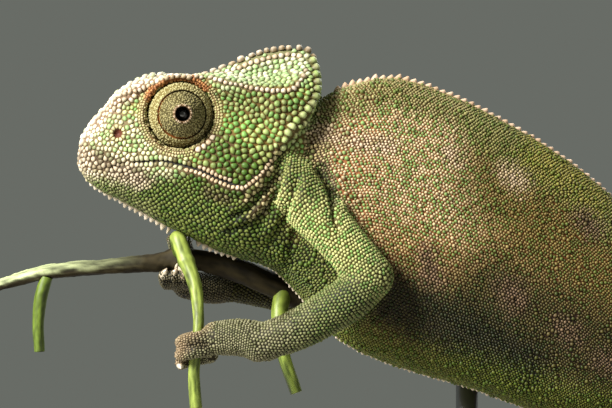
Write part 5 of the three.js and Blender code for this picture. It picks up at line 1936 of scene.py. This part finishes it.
@dataclass(frozen=True)
class Finish:
    """A finish whose colour comes from nodes of its own."""

    name: str

    def material(self) -> bpy.types.Material:
        """Builds the node material."""
        made = bpy.data.materials.new(self.name)
        made.use_nodes = True
        shader = made.node_tree.nodes["Principled BSDF"]
        for socket, value in self.settings().items():
            shader.inputs[socket].default_value = value
        made.node_tree.links.new(self.colour(made.node_tree), shader.inputs["Base Color"])
        return made

    def grain(self, tree: bpy.types.NodeTree, scale: float, detail: float) -> bpy.types.Node:
        """Adds a noise texture."""
        made = tree.nodes.new("ShaderNodeTexNoise")
        made.inputs["Scale"].default_value = scale
        made.inputs["Detail"].default_value = detail
        return made

    def settings(self) -> dict[str, float]:
        """Gives the shader's own values by socket."""
        raise NotImplementedError

    def colour(self, tree: bpy.types.NodeTree) -> bpy.types.NodeSocket:
        """Adds the nodes that give the colour."""
        raise NotImplementedError


@dataclass(frozen=True)
class CoatFinish(Finish):
    """A finish of the stored tint, broken up by fine noise."""

    roughness: float = 0.5
    noise_scale: float = 900
    shine: float = 0.28
    low: float = 0.75
    high: float = 1.2

    def settings(self) -> dict[str, float]:
        """Gives the shader's own values by socket."""
        return {"Roughness": self.roughness, "Specular IOR Level": self.shine}

    def colour(self, tree: bpy.types.NodeTree) -> bpy.types.NodeSocket:
        """Adds the stored tint, scaled by noise."""
        tint = tree.nodes.new("ShaderNodeAttribute")
        tint.attribute_name = TINT
        spread = tree.nodes.new("ShaderNodeMapRange")
        spread.inputs["To Min"].default_value = self.low
        spread.inputs["To Max"].default_value = self.high
        tree.links.new(self.grain(tree, self.noise_scale, 3).outputs["Fac"], spread.inputs["Value"])
        mix = tree.nodes.new("ShaderNodeVectorMath")
        mix.operation = "SCALE"
        tree.links.new(tint.outputs["Color"], mix.inputs[0])
        tree.links.new(spread.outputs["Result"], mix.inputs["Scale"])
        return mix.outputs["Vector"]


@dataclass(frozen=True)
class PlainFinish(Finish):
    """A finish of two close colours in soft noise."""

    dark: Colour
    light: Colour
    roughness: float
    metallic: float = 0.0
    coat: float = 0.0
    scale: float = 60
    stretch: tuple[float, float, float] = (1, 1, 1)

    def settings(self) -> dict[str, float]:
        """Gives the shader's own values by socket."""
        return {"Roughness": self.roughness, "Metallic": self.metallic, "Coat Weight": self.coat}

    def colour(self, tree: bpy.types.NodeTree) -> bpy.types.NodeSocket:
        """Adds a ramp between the two colours over stretched noise."""
        frame_of = tree.nodes.new("ShaderNodeTexCoord")
        stretch = tree.nodes.new("ShaderNodeMapping")
        stretch.inputs["Scale"].default_value = self.stretch
        tree.links.new(frame_of.outputs["Object"], stretch.inputs["Vector"])
        grain = self.grain(tree, self.scale, 6)
        tree.links.new(stretch.outputs["Vector"], grain.inputs["Vector"])
        ramp = tree.nodes.new("ShaderNodeValToRGB")
        for stop, share, colour in zip(ramp.color_ramp.elements, (0.3, 0.7), (self.dark, self.light)):
            stop.position, stop.color = share, (*linear(colour), 1)
        tree.links.new(grain.outputs["Fac"], ramp.inputs["Fac"])
        return ramp.outputs["Color"]


COAT = CoatFinish("scaled coat", 0.48)
HIDE = CoatFinish("bare hide", 0.65)
BARK = CoatFinish("bark", 0.75, 700, 0.2, 0.6, 1.35)
GREEN = CoatFinish("green stalk", 0.45, 500, 0.4, 0.85, 1.12)
EYEBALL = PlainFinish("eyeball", (6, 5, 4), (14, 10, 8), 0.08, coat=1.0)
HORN = PlainFinish("claw horn", (140, 120, 94), (200, 190, 170), 0.28, coat=0.3, scale=400)
WALNUT = PlainFinish("oiled walnut", (66, 44, 30), (112, 78, 52), 0.42, 0.0, 0.15, 90, (0.3, 3, 3))
STEEL = PlainFinish("brushed steel", (150, 150, 152), (176, 176, 178), 0.3, 1.0, 0.0, 300, (1, 1, 0.05))
FLOOR = PlainFinish("pale floor", (176, 175, 171), (184, 183, 179), 0.8, scale=8)


@dataclass(frozen=True)
class Lamp:
    """One soft area light."""

    place: tuple[float, float, float]
    size: float
    power: float
    colour: tuple[float, float, float]


@dataclass
class Studio:
    """The pale floor, the lights and the camera."""

    lamps: tuple[Lamp, ...] = (
        Lamp((-0.38, -0.26, 0.38), 0.16, 8.2, (1.0, 0.965, 0.9)),
        Lamp((0.45, -0.5, 0.25), 0.5, 0.5, (1.0, 1.0, 0.92)),
        Lamp((0.25, 0.5, 0.45), 0.4, 2.2, (0.97, 1.0, 0.94)),
    )
    aim: tuple[float, float, float] = (-0.02, 0, 0.09)  # what the lamps point at
    sky: tuple[float, float, float, float] = (0.82, 0.88, 0.78, 1)
    sky_strength: float = 0.17
    floor_radius: float = 0.6
    distance: float = 360.0  # from the camera to the animal's middle plane, in mm
    across: float = 88.74  # of the middle plane that the frame takes in, in mm
    sensor: float = 36
    nearest: float = 0.01

    def build(self) -> None:
        """Sets up the floor, the world, the lights and the camera."""
        bpy.ops.mesh.primitive_circle_add(vertices=96, radius=self.floor_radius, fill_type="NGON")
        floor = bpy.context.active_object
        floor.name = "floor"
        floor.data.materials.append(FLOOR.material())
        world = bpy.data.worlds.new("pale room")
        bpy.context.scene.world = world
        world.use_nodes = True
        background = world.node_tree.nodes["Background"]
        background.inputs["Color"].default_value = self.sky
        background.inputs["Strength"].default_value = self.sky_strength
        for i, lamp in enumerate(self.lamps):
            light = bpy.data.lights.new(f"lamp_{i}", "AREA")
            light.energy, light.size, light.color = lamp.power, lamp.size, lamp.colour
            holder = linked(f"lamp_{i}", light)
            holder.location = lamp.place
            holder.rotation_euler = (Vector(self.aim) - holder.location).to_track_quat("-Z", "Y").to_euler()
        camera = linked("camera", bpy.data.cameras.new("camera"))
        camera.data.sensor_width = self.sensor
        camera.data.lens = self.sensor * self.distance / self.across
        camera.data.clip_start = self.nearest
        camera.location = placed(np.array([0, -self.distance, 0])).tolist()
        camera.rotation_euler = (math.pi / 2, 0, 0)
        bpy.context.scene.camera = camera
        bpy.context.scene.view_settings.view_transform = "Standard"


# ---------------------------------------------------------------- the whole

EVERYWHERE = (-1000, 1000)
# The coat's pieces: the area, the x it is cut from and to, and the scales' outline.
PIECES = {
    "scales_head": (Area.HEAD, EVERYWHERE, Shape.TILE),
    "scales_shoulders": (Area.TRUNK, (-1000, 17), Shape.GRANULE),
    "scales_flanks": (Area.TRUNK, (17, 30), Shape.GRANULE),
    "scales_loins": (Area.TRUNK, (30, 43), Shape.GRANULE),
    "scales_hips": (Area.TRUNK, (43, 56), Shape.GRANULE),
    "scales_rump": (Area.TRUNK, (56, 1000), Shape.GRANULE),
    "scales_tail": (Area.TAIL, EVERYWHERE, Shape.GRANULE),
    "scales_arms": (Area.ARM, EVERYWHERE, Shape.GRANULE),
    "scales_legs": (Area.LEG, EVERYWHERE, Shape.GRANULE),
    "scales_paws": (Area.PAW, EVERYWHERE, Shape.GRANULE),
}
BELLY_LINE = [(s[2], s[3]) for s in TRUNK.stations[2:]]
CRESTS = (
    Crest(
        "crest_back", [s[:2] for s in TRUNK.stations[2:]], 1,
        (1.12, 1.1, 0.95, 0.85), (0.92, 0.66, 0.42, 0.22), 0.35, SPINE,
    ),
    Crest(
        "crest_throat", [(s[2], s[3]) for s in SKULL.stations[1:9]], -1,
        (0.78, 0.88, 0.98, 0.85), (0.55, 0.95, 1.25, 0.7), 0.1, THORN,
    ),
    Crest("crest_belly", [(-6.6, -8.8), *BELLY_LINE], -1, (0.7, 0.75, 0.7), (0.42, 0.45, 0.32), 0.3, THORN),
)


def dress(piece: bpy.types.Object, finish: bpy.types.Material, slot: str, *nodes: str) -> None:
    """Gives a piece its finish and its place on the model, and reports it.

    Args:
        piece: The object.
        finish: Its material.
        slot: The record's material slot; not used.
        nodes: The solids that it stands for, if any.
    """
    piece.data.materials.append(finish)
    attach(piece, "root")
    if nodes:
        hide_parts(*nodes)
    sizes = np.empty(len(piece.data.polygons), int)
    piece.data.polygons.foreach_get("loop_total", sizes)
    log.info("%s: %d triangles", piece.name, (sizes - 2).sum())


def dress_coat(hide: Hide, coat: bpy.types.Material) -> None:
    """Builds and dresses the scales and the crests on the skin."""
    roots = Planting(hide).build()
    log.info("%d scales", len(roots))
    scales = Scales(hide, roots)
    scales.prepare()
    x = roots.points[:, 0]
    for name, (area, (low, high), shape) in PIECES.items():
        chosen = np.nonzero((roots.areas == area.value) & (x >= low) & (x < high))[0]
        dress(scales.piece(name, chosen, shape), coat, "skin")
    for crest in CRESTS:
        dress(crest.build(hide), coat, "skin")


def main() -> None:
    """Builds the animal, its perch and the stand."""
    hide = Hide()
    hide.build()
    flesh = [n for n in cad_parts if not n.startswith(("eye", "lens", "perch", "stand"))]
    dress(hide.make(), HIDE.material(), "skin", *flesh)
    coat = COAT.material()
    dress_coat(hide, coat)
    eyeball = EYEBALL.material()
    for sign, side in zip(SIDES, ("left", "right")):
        dome, granules, ball = Turret(sign).build()
        dress(dome, coat, "eye_turret", f"eye_{side}")
        dress(granules, coat, "eye_turret")
        dress(ball, eyeball, "eye_lens", f"lens_{side}")
    horn = HORN.material()
    for name, paw in PAWS.items():
        dress(Claws().build(f"claws_{name}", paw), horn, "claw")
    bark, green = BARK.material(), GREEN.material()
    for stem in STEMS:
        finish, slot = (bark, "bark") if stem.name == "branch" else (green, "green_stalk")
        dress(stem.build(), finish, slot, f"perch_{stem.name}")
    walnut, steel = WALNUT.material(), STEEL.material()
    for node, piece in Stand().build().items():
        finish, slot = (walnut, "stand_wood") if node == "stand_base" else (steel, "stand_steel")
        dress(piece, finish, slot, node)
    Studio().build()


if __name__ == "__main__":
    main()
